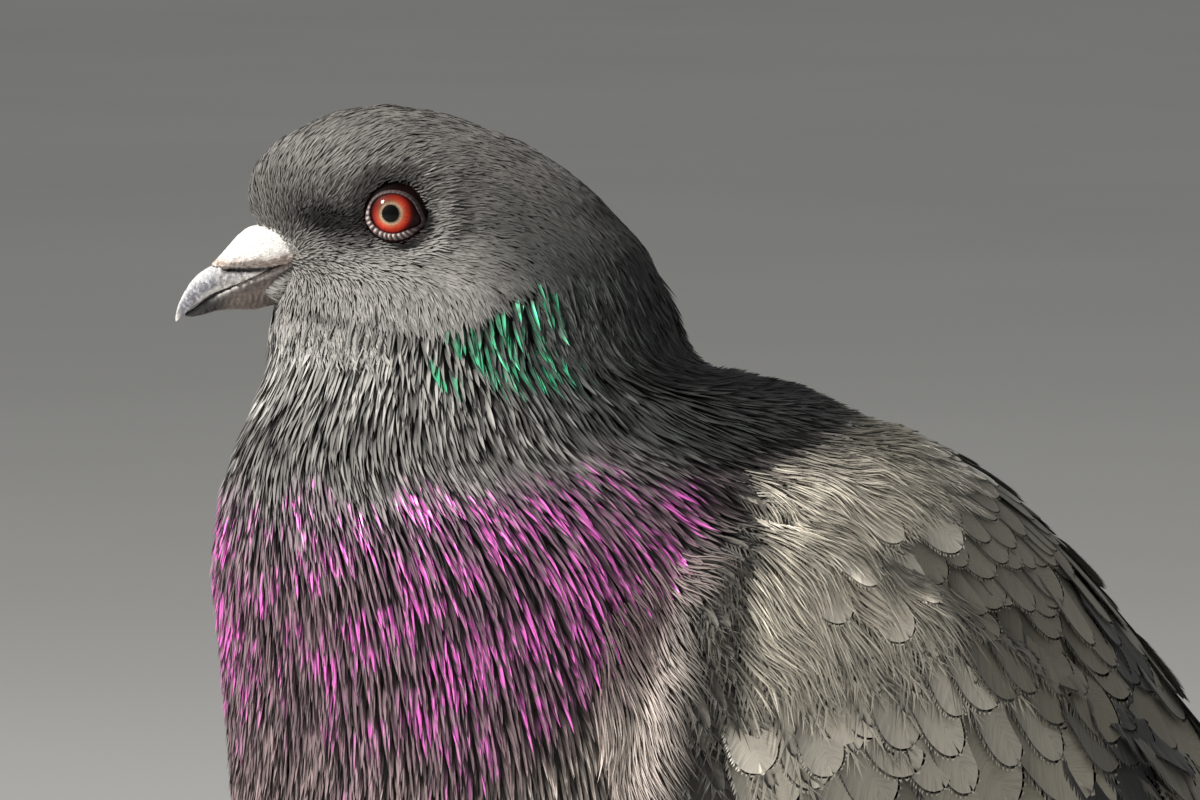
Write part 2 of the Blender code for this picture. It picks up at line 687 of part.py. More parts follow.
def round_rings(rounds, sides, sign, step=0.5):
    rows = [np.array(r) for r in rounds]
    rings = []
    for place in np.arange(0.0, len(rows) - 1 + step / 2, step):
        x, y, z, half_width, half_length = along(rows, place)
        rings.append([
            np.array([
                sign * (x + half_width * math.cos(math.radians(a))),
                y + half_length * math.sin(math.radians(a)),
                z,
            ])
            for a in ring_angles(sides)
        ])
    return rings


def make_legs(parts, clearance):
    for side, sign in SIDES:
        thigh = loft(f"thigh_{side}", round_rings(THIGH, 14, sign), parts)
        cut(finish(thigh, "belly_plumage"), clearance)
        shank = loft(f"shank_{side}", round_rings(SHANK, 12, sign, step=1.0), parts)
        finish(shank, "leg_skin")
        for toe in TOES:
            make_toe(toe, side, sign, parts)


def toe_ring(centre, across, upwards, half_width, half_height, sides):
    """A ring across a toe, pressed flat where it would go below the floor."""
    ring = []
    for a in ring_angles(sides):
        c, s = math.cos(math.radians(a)), math.sin(math.radians(a))
        point = centre + across * half_width * c + upwards * half_height * s
        ring.append(np.array([point[0], point[1], max(point[2], 0.0)]))
    return ring


def make_toe(toe, side, sign, parts):
    heading = math.radians(toe.heading)
    ahead = np.array([sign * math.sin(heading), -math.cos(heading), 0.0])
    across = np.array([-ahead[1], ahead[0], 0.0])
    up = np.array([0.0, 0.0, 1.0])
    root = np.array([sign * FOOT[0], FOOT[1], 0.0])
    first = FOOT_PAD_RADIUS + GAP
    pads = 2 if toe.name == "hind" else 3
    steps = 2 * pads + 2
    rings = []
    for i in range(steps + 1):
        f = i / steps
        reach = first + (toe.length - first) * f
        radius = TOE_RADIUS * (1 - TOE_TAPER * f) - TOE_PAD * math.cos(2 * math.pi * pads * f)
        narrow = min(1.0, 0.55 + 0.45 * (reach - first) / 3.5)
        if i == steps:
            radius *= 0.8
        centre = root + ahead * reach + up * (radius * TOE_SINK)
        rings.append(toe_ring(centre, across, up, radius * narrow, radius, 8))
    finish(loft(f"toe_{toe.name}_{side}", rings, parts), "leg_skin")

    base = root + ahead * (toe.length + GAP) + up * CLAW_HEIGHT
    whole = math.radians(CLAW_BEND)
    arm = CLAW_LENGTH / whole
    rings, steps = [], 4
    for i in range(steps):
        bend = whole * i / steps
        radius = CLAW_RADIUS * (1 - i / steps) ** 0.8
        centre = base + ahead * arm * math.sin(bend) - up * arm * (1 - math.cos(bend)) * CLAW_DROP
        tilt = up * math.cos(bend) + ahead * math.sin(bend)
        rings.append(toe_ring(centre, across, tilt, radius * 0.8, radius, 6))
    tip = base + ahead * arm * math.sin(whole) - up * (CLAW_HEIGHT - GAP)
    finish(loft(f"claw_{toe.name}_{side}", [*rings, [tip]], parts), "claw")


# ------------------------------------------------------------------ scene


def new_collection(name):
    collection = bpy.data.collections.new(name)
    bpy.context.scene.collection.children.link(collection)
    return collection


def centre_on_origin(parts, tools):
    """Brings the middle of the bird's box over the origin. Its toes already stand on the floor."""
    points = np.array([
        piece.matrix_basis @ vertex.co for piece in parts.objects for vertex in piece.data.vertices
    ])
    middle = (points.min(axis=0) + points.max(axis=0)) / 2
    origin = bpy.data.objects.new("origin", None)
    parts.objects.link(origin)
    origin.location = (-middle[0], -middle[1], 0.0)
    for piece in [*parts.objects, *tools.objects]:
        if piece is not origin:
            piece.parent = origin


def main():
    for leftover in list(bpy.data.objects):
        bpy.data.objects.remove(leftover)
    parts = new_collection("pigeon")
    tools = new_collection("cutters")
    clearance = make_body(parts, tools)
    make_eyes(parts)
    make_bill(parts, tools, clearance)
    make_wings(parts)
    make_primaries(parts)
    make_tail(parts, clearance)
    make_legs(parts, clearance)
    centre_on_origin(parts, tools)


main()
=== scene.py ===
"""The looks of a feral rock pigeon: one skin, a coat of real vanes and tufts, eyes, bill and legs.

Everything is worked out in millimetres in the bird's own frame (x to its left, y behind the upright
axis of the neck, z above the floor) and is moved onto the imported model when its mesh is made.
A place on the body is a ring, counted from the crown, and an angle around it in degrees, where
0 is the belly, 180 the back, and the bird's left side is positive.
"""
import math

import bpy
import numpy as np
from mathutils import Matrix, Vector


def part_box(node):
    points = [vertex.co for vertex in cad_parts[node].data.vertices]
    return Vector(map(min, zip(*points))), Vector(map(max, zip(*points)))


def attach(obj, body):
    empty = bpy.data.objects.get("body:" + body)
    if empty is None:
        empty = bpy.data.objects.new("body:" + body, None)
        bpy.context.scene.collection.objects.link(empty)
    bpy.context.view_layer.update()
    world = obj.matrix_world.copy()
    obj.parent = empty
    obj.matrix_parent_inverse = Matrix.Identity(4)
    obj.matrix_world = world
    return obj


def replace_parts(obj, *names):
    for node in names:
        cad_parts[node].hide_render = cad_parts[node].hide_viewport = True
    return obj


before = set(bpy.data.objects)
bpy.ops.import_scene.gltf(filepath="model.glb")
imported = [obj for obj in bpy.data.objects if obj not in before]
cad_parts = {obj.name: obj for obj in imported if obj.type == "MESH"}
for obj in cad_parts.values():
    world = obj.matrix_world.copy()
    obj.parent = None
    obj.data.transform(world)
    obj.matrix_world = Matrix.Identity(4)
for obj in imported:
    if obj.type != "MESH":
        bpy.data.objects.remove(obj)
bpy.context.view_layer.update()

MM = 0.001
SIDES = (("left", 1.0), ("right", -1.0))
UP = np.array([0.0, 0.0, 1.0])

# Eye and head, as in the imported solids
HEAD_TURN = 38.0
EYE_AHEAD, EYE_OUT, EYE_HEIGHT = 11.0, 7.3, 204.0
EYE_RADIUS = 5.0
EYE_LOOKS_AHEAD = 9.0

# ------------------------------------------------------------------ the bird's surface

# Rings of the body from the crown to the rump: front (y, z), back (y, z), half width, share of the
# head's turn, squareness, and how much narrower the ring is in front
RINGS = np.array([
    (-13.0, 218.2, -12.9, 218.2, 0.05, 1, 2, 0), (-20.0, 216.9, -5.4, 217.0, 5.4, 1, 2, 0),
    (-24.6, 214.8, 0.8, 215.0, 8.6, 1, 2, 0.02), (-28.0, 212.6, 6.2, 212.8, 10.4, 1, 2, 0.05),
    (-30.4, 209.8, 10.9, 209.9, 11.5, 1, 2.05, 0.08), (-31.4, 206.8, 15.2, 206.6, 12, 1, 2.1, 0.12),
    (-31.2, 203.6, 18.7, 203.0, 12.4, 1, 2.1, 0.18), (-29.2, 199.6, 22.5, 198.8, 13.1, 1, 2.1, 0.26),
    (-27.4, 195.4, 24.8, 194.5, 14.6, 1, 2.1, 0.28), (-28.4, 191.4, 26.7, 190.3, 17, 1, 2.1, 0.22),
    (-28.6, 187.4, 28.0, 186.6, 20.6, 0.98, 2.1, 0.12),
    (-28.6, 183.0, 29.4, 183.6, 24.4, 0.85, 2.05, 0.05),
    (-30.2, 178.0, 32.6, 181.2, 28.0, 0.6, 2, 0), (-32.8, 172.0, 40.0, 179.6, 32.2, 0.33, 2, 0),
    (-34.6, 165.0, 50.0, 177.0, 37.0, 0.12, 2.05, 0), (-35.1, 154.5, 62.0, 171.6, 42.0, 0, 2.1, 0),
    (-33.2, 143.0, 74.0, 163.8, 45.2, 0, 2.15, 0), (-31.8, 130.5, 85.0, 154.8, 47.2, 0, 2.15, 0),
    (-29.4, 114.5, 95.0, 145.2, 48.0, 0, 2.15, 0), (-18.0, 98.5, 104.5, 135.2, 48.0, 0, 2.1, 0),
    (3.5, 83.5, 113.5, 125.2, 46.5, 0, 2.1, 0), (28.5, 71.5, 122.0, 115.4, 44.0, 0, 2.05, 0),
    (54.0, 63.5, 130.5, 106.4, 39.5, 0, 2, 0), (79.0, 58.5, 139.0, 98.0, 33.0, 0, 2, 0),
    (102.0, 58.0, 147.0, 90.4, 26.0, 0, 2, 0), (122.0, 61.5, 155.0, 83.0, 19.0, 0, 2, 0),
    (138.0, 66.0, 160.5, 78.0, 13.0, 0, 2, 0), (150.0, 69.0, 162.5, 75.5, 8.0, 0, 2, 0),
])
LAST_RING = len(RINGS) - 1

# Edges of the folded wing and of the scapulars: ring, angle
WING_LOW = [(15, 80), (16, 70), (17, 62), (18, 56), (19.5, 56), (21.5, 60), (23.5, 62)]
WING_HIGH = [(15, 92), (16, 99), (17, 109), (18, 121), (19.5, 131), (20.5, 140), (21.5, 154),
             (22.6, 172), (23.5, 174)]
SCAPULAR_HIGH = [(14.6, 150), (16, 166), (18, 172), (20, 174), (22, 175)]


def unit(vectors):
    return vectors / np.maximum(np.linalg.norm(vectors, axis=-1, keepdims=True), 1e-9)


def circle(degrees):
    return np.cos(np.radians(degrees)), np.sin(np.radians(degrees))


def turns(count):
    """Angles all round, one row of them."""
    return np.linspace(0, 360, count, endpoint=False)[None, :]


def power(value, exponent):
    return np.sign(value) * np.abs(value) ** exponent


def wrapped(degrees):
    return (degrees + 180.0) % 360.0 - 180.0


def ramp(value, start, end):
    """0 before start and 1 after end, smooth between; start may be the larger."""
    f = np.clip((value - start) / (end - start), 0.0, 1.0)
    return f * f * (3 - 2 * f)


def window(value, start, full, fade, end):
    """0 outside start to end and 1 from full to fade."""
    return ramp(value, start, full) * ramp(value, end, fade)


def spot(value, middle, reach):
    return np.exp(-((value - middle) / reach) ** 2)


def along(rows, place):
    """The rows' values at places between them, on a smooth curve through every row."""
    rows = np.asarray(rows, float)
    place = np.clip(np.asarray(place, float), 0, len(rows) - 1)
    start = np.minimum(place.astype(int), len(rows) - 2)
    f = (place - start)[..., None]
    ends = np.vstack([2 * rows[0] - rows[1], rows, 2 * rows[-1] - rows[-2]])
    before, a, b, after = (ends[start + i] for i in range(4))
    return (a * (2 * f**3 - 3 * f**2 + 1) + (b - before) / 2 * (f**3 - 2 * f**2 + f)
            + b * (3 * f**2 - 2 * f**3) + (after - a) / 2 * (f**3 - f**2))


def columns_along(rows, place):
    return np.moveaxis(along(rows, place), -1, 0)


def turned(points, degrees):
    """Points turned about the neck's upright axis, towards the bird's right."""
    points = np.asarray(points, float)
    angle = np.radians(-np.asarray(degrees, float))
    cos, sin = np.cos(angle), np.sin(angle)
    x, y = points[..., 0], points[..., 1]
    return np.stack([x * cos - y * sin, x * sin + y * cos, points[..., 2]], axis=-1)


def on_ring(rows, place, angle):
    fy, fz, by, bz, half_width, turn, square, taper = columns_along(rows, place)
    cos, sin = circle(angle)
    lengthwise, sideways = power(cos, 2 / square), power(sin, 2 / square)
    points = np.stack([
        half_width * sideways * (1 - taper * lengthwise),
        (fy + by) / 2 - (by - fy) / 2 * lengthwise,
        (fz + bz) / 2 - (bz - fz) / 2 * lengthwise,
    ], axis=-1)
    return turned(points, turn * HEAD_TURN)


def edge(pairs, place):
    return np.interp(place, *zip(*pairs))


def swell(f):
    """0 at both ends of 0 to 1 and 1 over the middle, round at the ends."""
    return np.maximum(0.0, 1 - np.abs(2 * f - 1) ** 3) ** 0.6


def wing_depth(place, angle):
    """Thickness of the folded wing and its scapulars over the body, smooth at their edges."""
    side = np.abs(angle)
    low, high, top = (edge(pairs, place) for pairs in (WING_LOW, WING_HIGH, SCAPULAR_HIGH))
    g = np.clip((side - low) / (high - low), 0, 1)
    f = np.clip((place - 15.0) / 4.9, 0, 1)
    coverts = 1.3 + 6.2 * swell(0.06 + 0.5 * f) * swell(0.04 + 0.84 * g)
    f = np.clip((place - 19.9) / 2.7, 0, 1)
    flights = 1.3 + (5.4 - 2.0 * f) * swell(0.04 + 0.84 * g)
    depth = coverts + (flights - coverts) * ramp(place, 19.6, 20.4)
    depth = depth * ramp(side, low - 3.0, low + 2.0) * ramp(place, 14.75, 15.5)
    depth = depth * ramp(place, 23.4, 22.2) * (side < high)
    g = np.clip((side - high) / np.maximum(top - high, 1.0), 0, 1)
    f = np.clip((place - 14.6) / 7.4, 0, 1)
    scapulars = 1.2 + 4.0 * swell(0.03 + 0.9 * f) * swell(0.3 + 0.69 * g)
    scapulars = scapulars * window(place, 14.1, 15.2, 21.0, 22.4)
    scapulars = scapulars * ramp(side, top + 5.0, top - 1.0) * (side >= high)
    return depth + scapulars


def head_frame(points):
    """(left of the head's middle plane, ahead of the neck's axis, above the floor)."""
    flat = turned(points, -HEAD_TURN)
    return flat[..., 0], -flat[..., 1], flat[..., 2]


def bump_at(s, z, ahead, height, long, tall, lean=0.0):
    """A smooth spot on the side of the head."""
    c, d = math.cos(math.radians(lean)), math.sin(math.radians(lean))
    u, v = (s - ahead) * c + (z - height) * d, -(s - ahead) * d + (z - height) * c
    return np.exp(-(u / long) ** 2 - (v / tall) ** 2)


# Spots of the face's relief: height, then ahead, height, half length, half height and lean
FACE = (
    (-2.3, (20.0, 201.2, 5.4, 2.1, 14.0)),      # sunken lores
    (0.7, (19.0, 208.0, 6.0, 2.8, -8.0)),       # brow
    (0.7, (14.0, 194.5, 8.0, 3.4, 10.0)),       # cheek
    (-0.5, (3.0, 201.0, 7.0, 1.6, 8.0)),        # furrow behind the eye
)


def face_relief(points):
    """What the face adds to the solids' plain form, with a socket around the eye."""
    x, s, z = head_frame(points)
    side = ramp(np.abs(x), 3.0, 7.0)
    apart = np.hypot(s - EYE_AHEAD, (z - EYE_HEIGHT) * 1.12)
    relief = sum(height * bump_at(s, z, *at) for height, at in FACE)
    socket = -1.6 * ramp(apart, 7.6, 4.2)
    return (relief * ramp(apart, 3.0, 8.0) + socket) * side


class Surface:
    """The bird's outer form as a fine grid over (ring, angle), read by interpolation."""

    def __init__(self, depth):
        self.places = np.linspace(0.0, LAST_RING, 541)
        self.angles = np.linspace(-180.0, 180.0, 241)
        place, angle = np.meshgrid(self.places, self.angles, indexing="ij")
        bare = on_ring(RINGS, place, angle)
        normals = self._outward(bare, *self._slopes(bare))
        form = bare + normals * (depth(place, angle) + face_relief(bare))[..., None]
        slopes = self._slopes(form)
        self.grid = np.concatenate([form, self._outward(form, *slopes), *slopes], axis=-1)

    def _slopes(self, points):
        around = np.concatenate([points[:, -2:-1], points, points[:, 1:2]], axis=1)
        step = self.angles[1] - self.angles[0]
        return (np.gradient(points, self.places, axis=0),
                (around[:, 2:] - around[:, :-2]) / (2 * step))

    @staticmethod
    def _outward(points, lengthwise, round_it):
        normals = unit(np.cross(round_it, lengthwise))
        middle = points[:, :-1].mean(axis=1, keepdims=True)
        flip = np.sign(np.sum(normals * (points - middle), axis=-1).mean(axis=1))
        normals = normals * np.where(flip == 0, 1.0, flip)[:, None, None]
        normals[:3] = UP
        return normals

    def at(self, place, angle):
        """Points, normals, and slopes per ring and per degree."""
        place = np.clip(place, 0, LAST_RING - 1e-6) / (self.places[1] - self.places[0])
        angle = ((np.asarray(angle) + 180.0) % 360.0) / (self.angles[1] - self.angles[0])
        i, j = place.astype(int), angle.astype(int)
        i, j = np.minimum(i, len(self.places) - 2), np.minimum(j, len(self.angles) - 2)
        f, g = (place - i)[..., None], (angle - j)[..., None]
        values = (self.grid[i, j] * (1 - f) * (1 - g) + self.grid[i + 1, j] * f * (1 - g)
                  + self.grid[i, j + 1] * (1 - f) * g + self.grid[i + 1, j + 1] * f * g)
        return values[..., :3], unit(values[..., 3:6]), values[..., 6:9], values[..., 9:12]


BARE = Surface(lambda place, angle: 0.0)
DRESSED = Surface(wing_depth)
EYE_CENTRES = {sign: turned((sign * EYE_OUT, -EYE_AHEAD, EYE_HEIGHT), HEAD_TURN)
               for _, sign in SIDES}
eye_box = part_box("eye_left")
SHIFT = np.array((eye_box[0] + eye_box[1]) / 2) / MM - EYE_CENTRES[1.0]
SHIFT[2] = 0.0


def onto_frame(points):
    return (np.asarray(points, float) + SHIFT) * MM


# ------------------------------------------------------------------ colour of the plumage

SHADOW = (0.0, 0.0, 0.0)
HEAD_GREY = (0.128, 0.122, 0.115)
CHEEK_GREY = (0.190, 0.182, 0.173)
# Painted shadow of the sunken lores between the eye and the bill
LORE_SHADOW = (0.014, 0.012, 0.012)
NECK_GREY = (0.255, 0.248, 0.235)
NECK_SHADE = (0.132, 0.126, 0.120)
# The hind neck's dark feathers, darkened further by painted shade
HIND_NECK_DARK_AND_SHADED = (0.020, 0.024, 0.023)
BREAST_MAUVE = (0.165, 0.120, 0.122)
FLANK_PALE = (0.440, 0.385, 0.345)
BELLY_ASH = (0.250, 0.245, 0.250)
WING_ASH = (0.52, 0.480, 0.405)
# The wing's pale front: its ash made paler as painted light
WING_PALE_LIT = (0.80, 0.74, 0.63)
# The mantle's ash grey, made darker and olive as painted shade and a painted greenish reflected light
MANTLE_ASH_IN_SHADE = np.array((0.190, 0.175, 0.134))
RUMP_PALE = (0.55, 0.55, 0.55)
VENT_ASH = (0.24, 0.25, 0.27)
BAR_BLACK = (0.018, 0.017, 0.018)
FLIGHT_BROWN = (0.085, 0.075, 0.068)
SECONDARY_ASH = (0.29, 0.275, 0.245)
TAIL_GREY = (0.13, 0.135, 0.145)
GREEN_GLOSS, GREEN_SHEEN = (0.05, 0.55, 0.27), (0.04, 0.13, 0.085)
MAGENTA_GLOSS, MAUVE_SHEEN = (1.0, 0.20, 0.76), (0.21, 0.085, 0.175)

# Where the magenta ends at the flank, and the groove before the wing: ring, angle
MAGENTA_EDGE = [(13.8, 99), (14.5, 87), (15.2, 72), (15.8, 62), (16.4, 51), (16.9, 41), (17.3, 28)]
GROOVE = [(13.9, 99), (14.2, 94), (14.9, 86), (15.2, 82), (15.7, 73), (16.6, 67), (18.0, 58),
          (19.5, 56)]
# The cheek's lower hind edge: ahead of the neck's axis, above the floor
CHEEK_EDGE = ((-8.0, -6.0, 0.0, 5.2, 14.0, 24.0), (196.2, 194.3, 191.2, 189.6, 189.8, 191.6))


def blend(base, other, share):
    return base + (np.asarray(other) - base) * np.asarray(share)[..., None]


def painted(base, *layers):
    """The base with layers of (colour, share) laid over it in turn."""
    for colour, share in layers:
        base = blend(base, colour, share)
    return base


def patches(points, size, seed):
    """Smooth random values, about -1 to 1, in patches of the given size in mm."""
    rng = np.random.default_rng(seed)
    total = np.zeros(points.shape[:-1])
    for _ in range(9):
        wave = rng.normal(size=3)
        wave = wave / np.linalg.norm(wave) * rng.uniform(0.7, 1.5) * 2 * math.pi / size
        total += np.sin(points @ wave + rng.uniform(0, 2 * math.pi))
    return total / 3.0


def markings(point, place, angle):
    """Base colour and gloss, 0 to 1, of the plumage at points of the body; the colour holds painted
    shade in the lores, under the cheek, on the hind neck, over the mantle and in the groove before the
    wing.
    """
    side, upward = np.abs(angle), np.cos(np.radians(angle))
    x, s, z = head_frame(point)
    beside = ramp(np.abs(x), 3.0, 6.0)
    crease = spot(z - np.interp(s, *CHEEK_EDGE), -0.6, 0.75) * window(s, -9.0, -5.0, 22.0, 25.0)
    # lore: where the painted shadow of the sunken lores lies
    lore = bump_at(s, z, 19.2, 201.6, 5.8, 2.5, 14.0)
    neck = ramp(place, 8.6 + 0.6 * upward, 10.2)
    # hind: the dark hind neck, with painted shade laid over its own dark colour
    hind = window(place, 3.5, 8.0, 13.6, 15.6) * ramp(side, 84.0 - 10.0 * neck, 118.0 - 12.0 * neck)
    last = edge(MAGENTA_EDGE, place)
    # back: the mantle, in its ash darkened by painted shade
    back = ramp(side, 92.0, 118.0) * ramp(place, 13.9, 15.0)
    groove = spot(side, edge(GROOVE, place) + 1.0, 5.0) * window(place, 13.8, 14.3, 18.0, 20.0)
    colour = painted(
        HEAD_GREY,
        (CHEEK_GREY, ramp(z, 203.0, 197.5) * ramp(s, -4.0, 4.0)),
        (LORE_SHADOW, np.clip(1.4 * lore * beside, 0, 0.94)),
        (SHADOW, 0.62 * crease * beside),
        (NECK_GREY, neck),
        (NECK_SHADE, 0.9 * ramp(place, 10.2 + 0.8 * upward, 12.4)),
        (HIND_NECK_DARK_AND_SHADED, 0.95 * hind),
        (BREAST_MAUVE, ramp(place, 13.6, 15.0) * ramp(side, 150.0, 100.0)),
        (FLANK_PALE, 0.85 * ramp(side, last + 2.0, last + 14.0) * ramp(place, 14.0, 14.8)),
        (BELLY_ASH, ramp(place, 17.0, 20.5)),
        (MANTLE_ASH_IN_SHADE, back),
        (RUMP_PALE, ramp(side, 95.0, 125.0) * window(place, 21.6, 22.4, 24.6, 25.6)),
        (VENT_ASH, ramp(place, 23.6, 25.0) * ramp(side, 140.0, 100.0)),
        (SHADOW, 0.8 * groove),
    )
    return colour, neck * ramp(place, 17.6, 15.6) * (1 - back)


# ------------------------------------------------------------------ meshes of many small things


def piece_of(name, vertices, faces, uvs, colours, material):
    """One joined mesh. faces is a list of arrays of equal-sided faces; uvs maps a name to values
    per vertex; colours maps a name to values per vertex."""
    mesh = bpy.data.meshes.new(name)
    vertices = onto_frame(vertices.reshape(-1, 3))
    mesh.vertices.add(len(vertices))
    mesh.vertices.foreach_set("co", vertices.astype(np.float32).ravel())
    loops = np.concatenate([f.ravel() for f in faces]).astype(np.int32)
    totals = np.concatenate([np.full(len(f), f.shape[1]) for f in faces]).astype(np.int32)
    starts = np.concatenate([[0], np.cumsum(totals)[:-1]]).astype(np.int32)
    mesh.loops.add(len(loops))
    mesh.loops.foreach_set("vertex_index", loops)
    mesh.polygons.add(len(totals))
    mesh.polygons.foreach_set("loop_start", starts)
    mesh.polygons.foreach_set("loop_total", totals)
    mesh.update(calc_edges=True)
    for key, values in uvs.items():
        layer = mesh.uv_layers.new(name=key)
        layer.data.foreach_set("uv", values.reshape(-1, 2)[loops].astype(np.float32).ravel())
    for key, values in colours.items():
        values = np.asarray(values, float)
        if values.ndim > 1 and values.shape[-1] == 3:
            values = np.concatenate([values, np.ones((*values.shape[:-1], 1))], axis=-1)
            store = mesh.color_attributes.new(name=key, type="FLOAT_COLOR", domain="POINT")
            store.data.foreach_set("color", values.astype(np.float32).ravel())
        else:
            store = mesh.attributes.new(name=key, type="FLOAT", domain="POINT")
            store.data.foreach_set("value", values.astype(np.float32).ravel())
    mesh.validate()
    mesh.shade_smooth()
    piece = bpy.data.objects.new(name, mesh)
    bpy.context.scene.collection.objects.link(piece)
    piece.data.materials.append(material)
    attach(piece, "root")
    return piece


def grid_faces(rows, columns, wrap=False, start=0):
    """Quads of a grid of points held row by row."""
    i, j = np.meshgrid(np.arange(rows - 1), np.arange(columns - (not wrap)), indexing="ij")
    k = (j + 1) % columns
    below, above = i * columns, (i + 1) * columns
    return np.stack([below + j, below + k, above + k, above + j], -1).reshape(-1, 4) + start


def shell_piece(name, shells, material, capped=False):
    """One mesh of closed rings of points: (points, tint, inside out) of each part of it."""
    vertices, faces, caps, tints, start = [], [], [], [], 0
    for points, tint, inside_out in shells:
        rows, columns = points.shape[:2]
        turn = slice(None, None, -1 if inside_out else 1)
        faces.append(grid_faces(rows, columns, wrap=True, start=start)[:, turn])
        caps.append((start + (rows - 1) * columns + np.arange(columns))[None, turn])
        vertices.append(points.reshape(-1, 3))
        tints.append(np.broadcast_to(tint, points.shape).reshape(-1, 3))
        start += rows * columns
    first = np.arange(shells[0][0].shape[1])[None, ::-1]
    faces = [np.vstack(faces), *([first, *caps] if capped else [])]
    return piece_of(name, np.vstack(vertices), faces, {}, {"Tint": np.vstack(tints)}, material)


def repeat_faces(faces, points_each, count):
    offsets = (np.arange(count) * points_each)[:, None, None]
    return (faces[None] + offsets).reshape(-1, faces.shape[1])


def blades(spine, across, half_width, profile, fold):
    """Slender tufts along each spine, ending in a point: folded along the middle, or flat."""
    count, rows = spine.shape[:2]
    out = np.array([-1.0, 0.0, 1.0]) if fold else np.array([-1.0, 1.0])
    columns = len(out)
    normal = unit(np.cross(across[:, :-1], spine[:, 1:] - spine[:, :-1]))
    normal = np.concatenate([normal, normal[:, -1:]], axis=1)
    width = (half_width[:, None] * np.array(profile))[..., None]
    points = spine[:, :, None, :] + across[:, :, None, :] * (width * out)[..., None]
    points = points - normal[:, :, None, :] * (width * (1 - np.abs(out)) * fold)[..., None]
    vertices = np.concatenate([points[:, :-1].reshape(count, -1, 3), spine[:, -1:]], axis=1)
    tip = (rows - 1) * columns
    tips = np.array([(tip - k - 2, tip - k - 1, tip) for k in range(columns - 1)])
    run = np.repeat(np.arange(rows - 1) / (rows - 1), columns)
    inner = np.stack([np.tile(0.5 + 0.5 * out, rows - 1), run], axis=-1)
    faces = [repeat_faces(f, tip + 1, count) for f in (grid_faces(rows - 1, columns), tips)]
    return vertices, faces, np.vstack([inner, [[0.5, 1.0]]])


def vane_template(barbs, columns, sweep, outline, reach):
    """Where a feather's barbs lie: (along the shaft, across, barb, from shaft to tip) per point.

    columns are the shares of each barb at which it has points, and the rest of it, up to its free
    tip, is loose. reach is how evenly long the loose tips are."""
    table, quads, tips = [], [], []
    for sign in (-1.0, 1.0):
        start = len(table)
        for j in range(barbs + 1):
            t0 = j / barbs
            t1 = min(1.0, t0 + sweep * (1 - 0.35 * t0))
            table += [(t0 + (t1 - t0) * c**1.25, sign * outline(t1) * c, t0, sign * c)
                      for c in columns]
        first_tip, last = len(table), start + len(columns) - 1
        for j in range(barbs):
            t0, far = (j + 0.5) / barbs, reach[j % len(reach)]
            t1 = min(1.0, t0 + sweep * (1 - 0.35 * t0) * far)
            table.append((t1, sign * outline(t1) * (0.96 + 0.06 * far), t0, sign))
        ends = np.array([(last + j * len(columns), first_tip + j, last + (j + 1) * len(columns))
                         for j in range(barbs)])
        turn = slice(None, None, -1 if sign < 0 else 1)
        quads.append(grid_faces(barbs + 1, len(columns), start=start)[:, turn])
        tips.append(ends[:, ::-1][:, turn])
    return np.array(table), np.vstack(quads), np.vstack(tips)


def vanes(spine, across, normal, half_width, template, camber):
    """Broad feathers on spines of points, from a template of barbs."""
    table, *faces = template
    t, x, barb, run = table.T
    count, rows = spine.shape[:2]
    place = np.clip(t, 0, 1) * (rows - 1)
    i = np.minimum(place.astype(int), rows - 2)
    f = (place - i)[None, :, None]
    at = [a[:, i] * (1 - f) + a[:, i + 1] * f for a in (spine, across, normal)]
    width = half_width[:, None] * x[None, :]
    sag = camber * half_width[:, None] * x[None, :] ** 2
    vertices = at[0] + at[1] * width[..., None] - at[2] * sag[..., None]
    inner = np.stack([0.5 + 0.5 * run, barb], axis=-1)
    return vertices, [repeat_faces(f, len(table), count) for f in faces], inner


def outline_round(t):
    """A covert: broad along its length and round at its tip."""
    tip = np.clip(1 - np.clip((t - 0.62) / 0.38, 0, 1) ** 2.2, 0, 1)
    return np.sqrt(tip) * (0.72 + 0.28 * min(1, t / 0.35))


def outline_long(t):
    """A flight feather: narrow at its root, even along its length, rounded at its tip."""
    tip = math.sqrt(max(0.0, 1 - (max(0.0, t - 0.86) / 0.14) ** 2.0))
    return tip * (0.35 + 0.65 * min(1.0, t / 0.25) ** 0.7)


DOWNY = vane_template(9, (0.0, 0.45), 0.4, outline_round, (1.0, 0.78, 1.12, 0.88, 1.05))
LOOSE = vane_template(18, (0.0, 0.32), 0.5, outline_round, (1.0, 0.80, 1.10, 0.88, 1.05, 0.84))
SOFT = vane_template(22, (0.0, 0.4, 0.85), 0.30, outline_round, (1.0, 0.97, 1.02, 0.95, 1.01))
FIRM = vane_template(16, (0.0, 0.33, 0.66, 0.9), 0.16, outline_round, (1.0, 0.96, 1.03, 0.94))
FLIGHT = vane_template(30, (0.0, 0.3, 0.62, 0.95), 0.10, outline_long, (1.0, 0.985, 1.01, 0.99))

BAKE_PATCH = 0.003            # a tuft's side on the unwrap


def unwrapped(place, angle, inner):
    """A small patch for each tuft at its root's place, ring against angle, in the unit square."""
    each = [(v - v.min()) / max(v.max() - v.min(), 1e-6) for v in (angle, place)]
    roots = 0.01 + 0.98 * np.stack(each, axis=-1)
    return np.clip(roots[:, None, :] + (inner[None] - 0.5) * BAKE_PATCH, 0.001, 0.999)


def feather_piece(name, shapes, cells, tints, gloss, seed, material):
    vertices, faces, inner = shapes
    count, each = vertices.shape[:2]
    chance = np.random.default_rng(seed).random(count)
    vane = np.broadcast_to(inner, (count, each, 2))
    tints = {"Tint": tints, "Gloss": gloss, "Seed": np.repeat(chance, each)}
    return piece_of(name, vertices, faces, {"OFBake": cells, "Vane": vane}, tints, material)


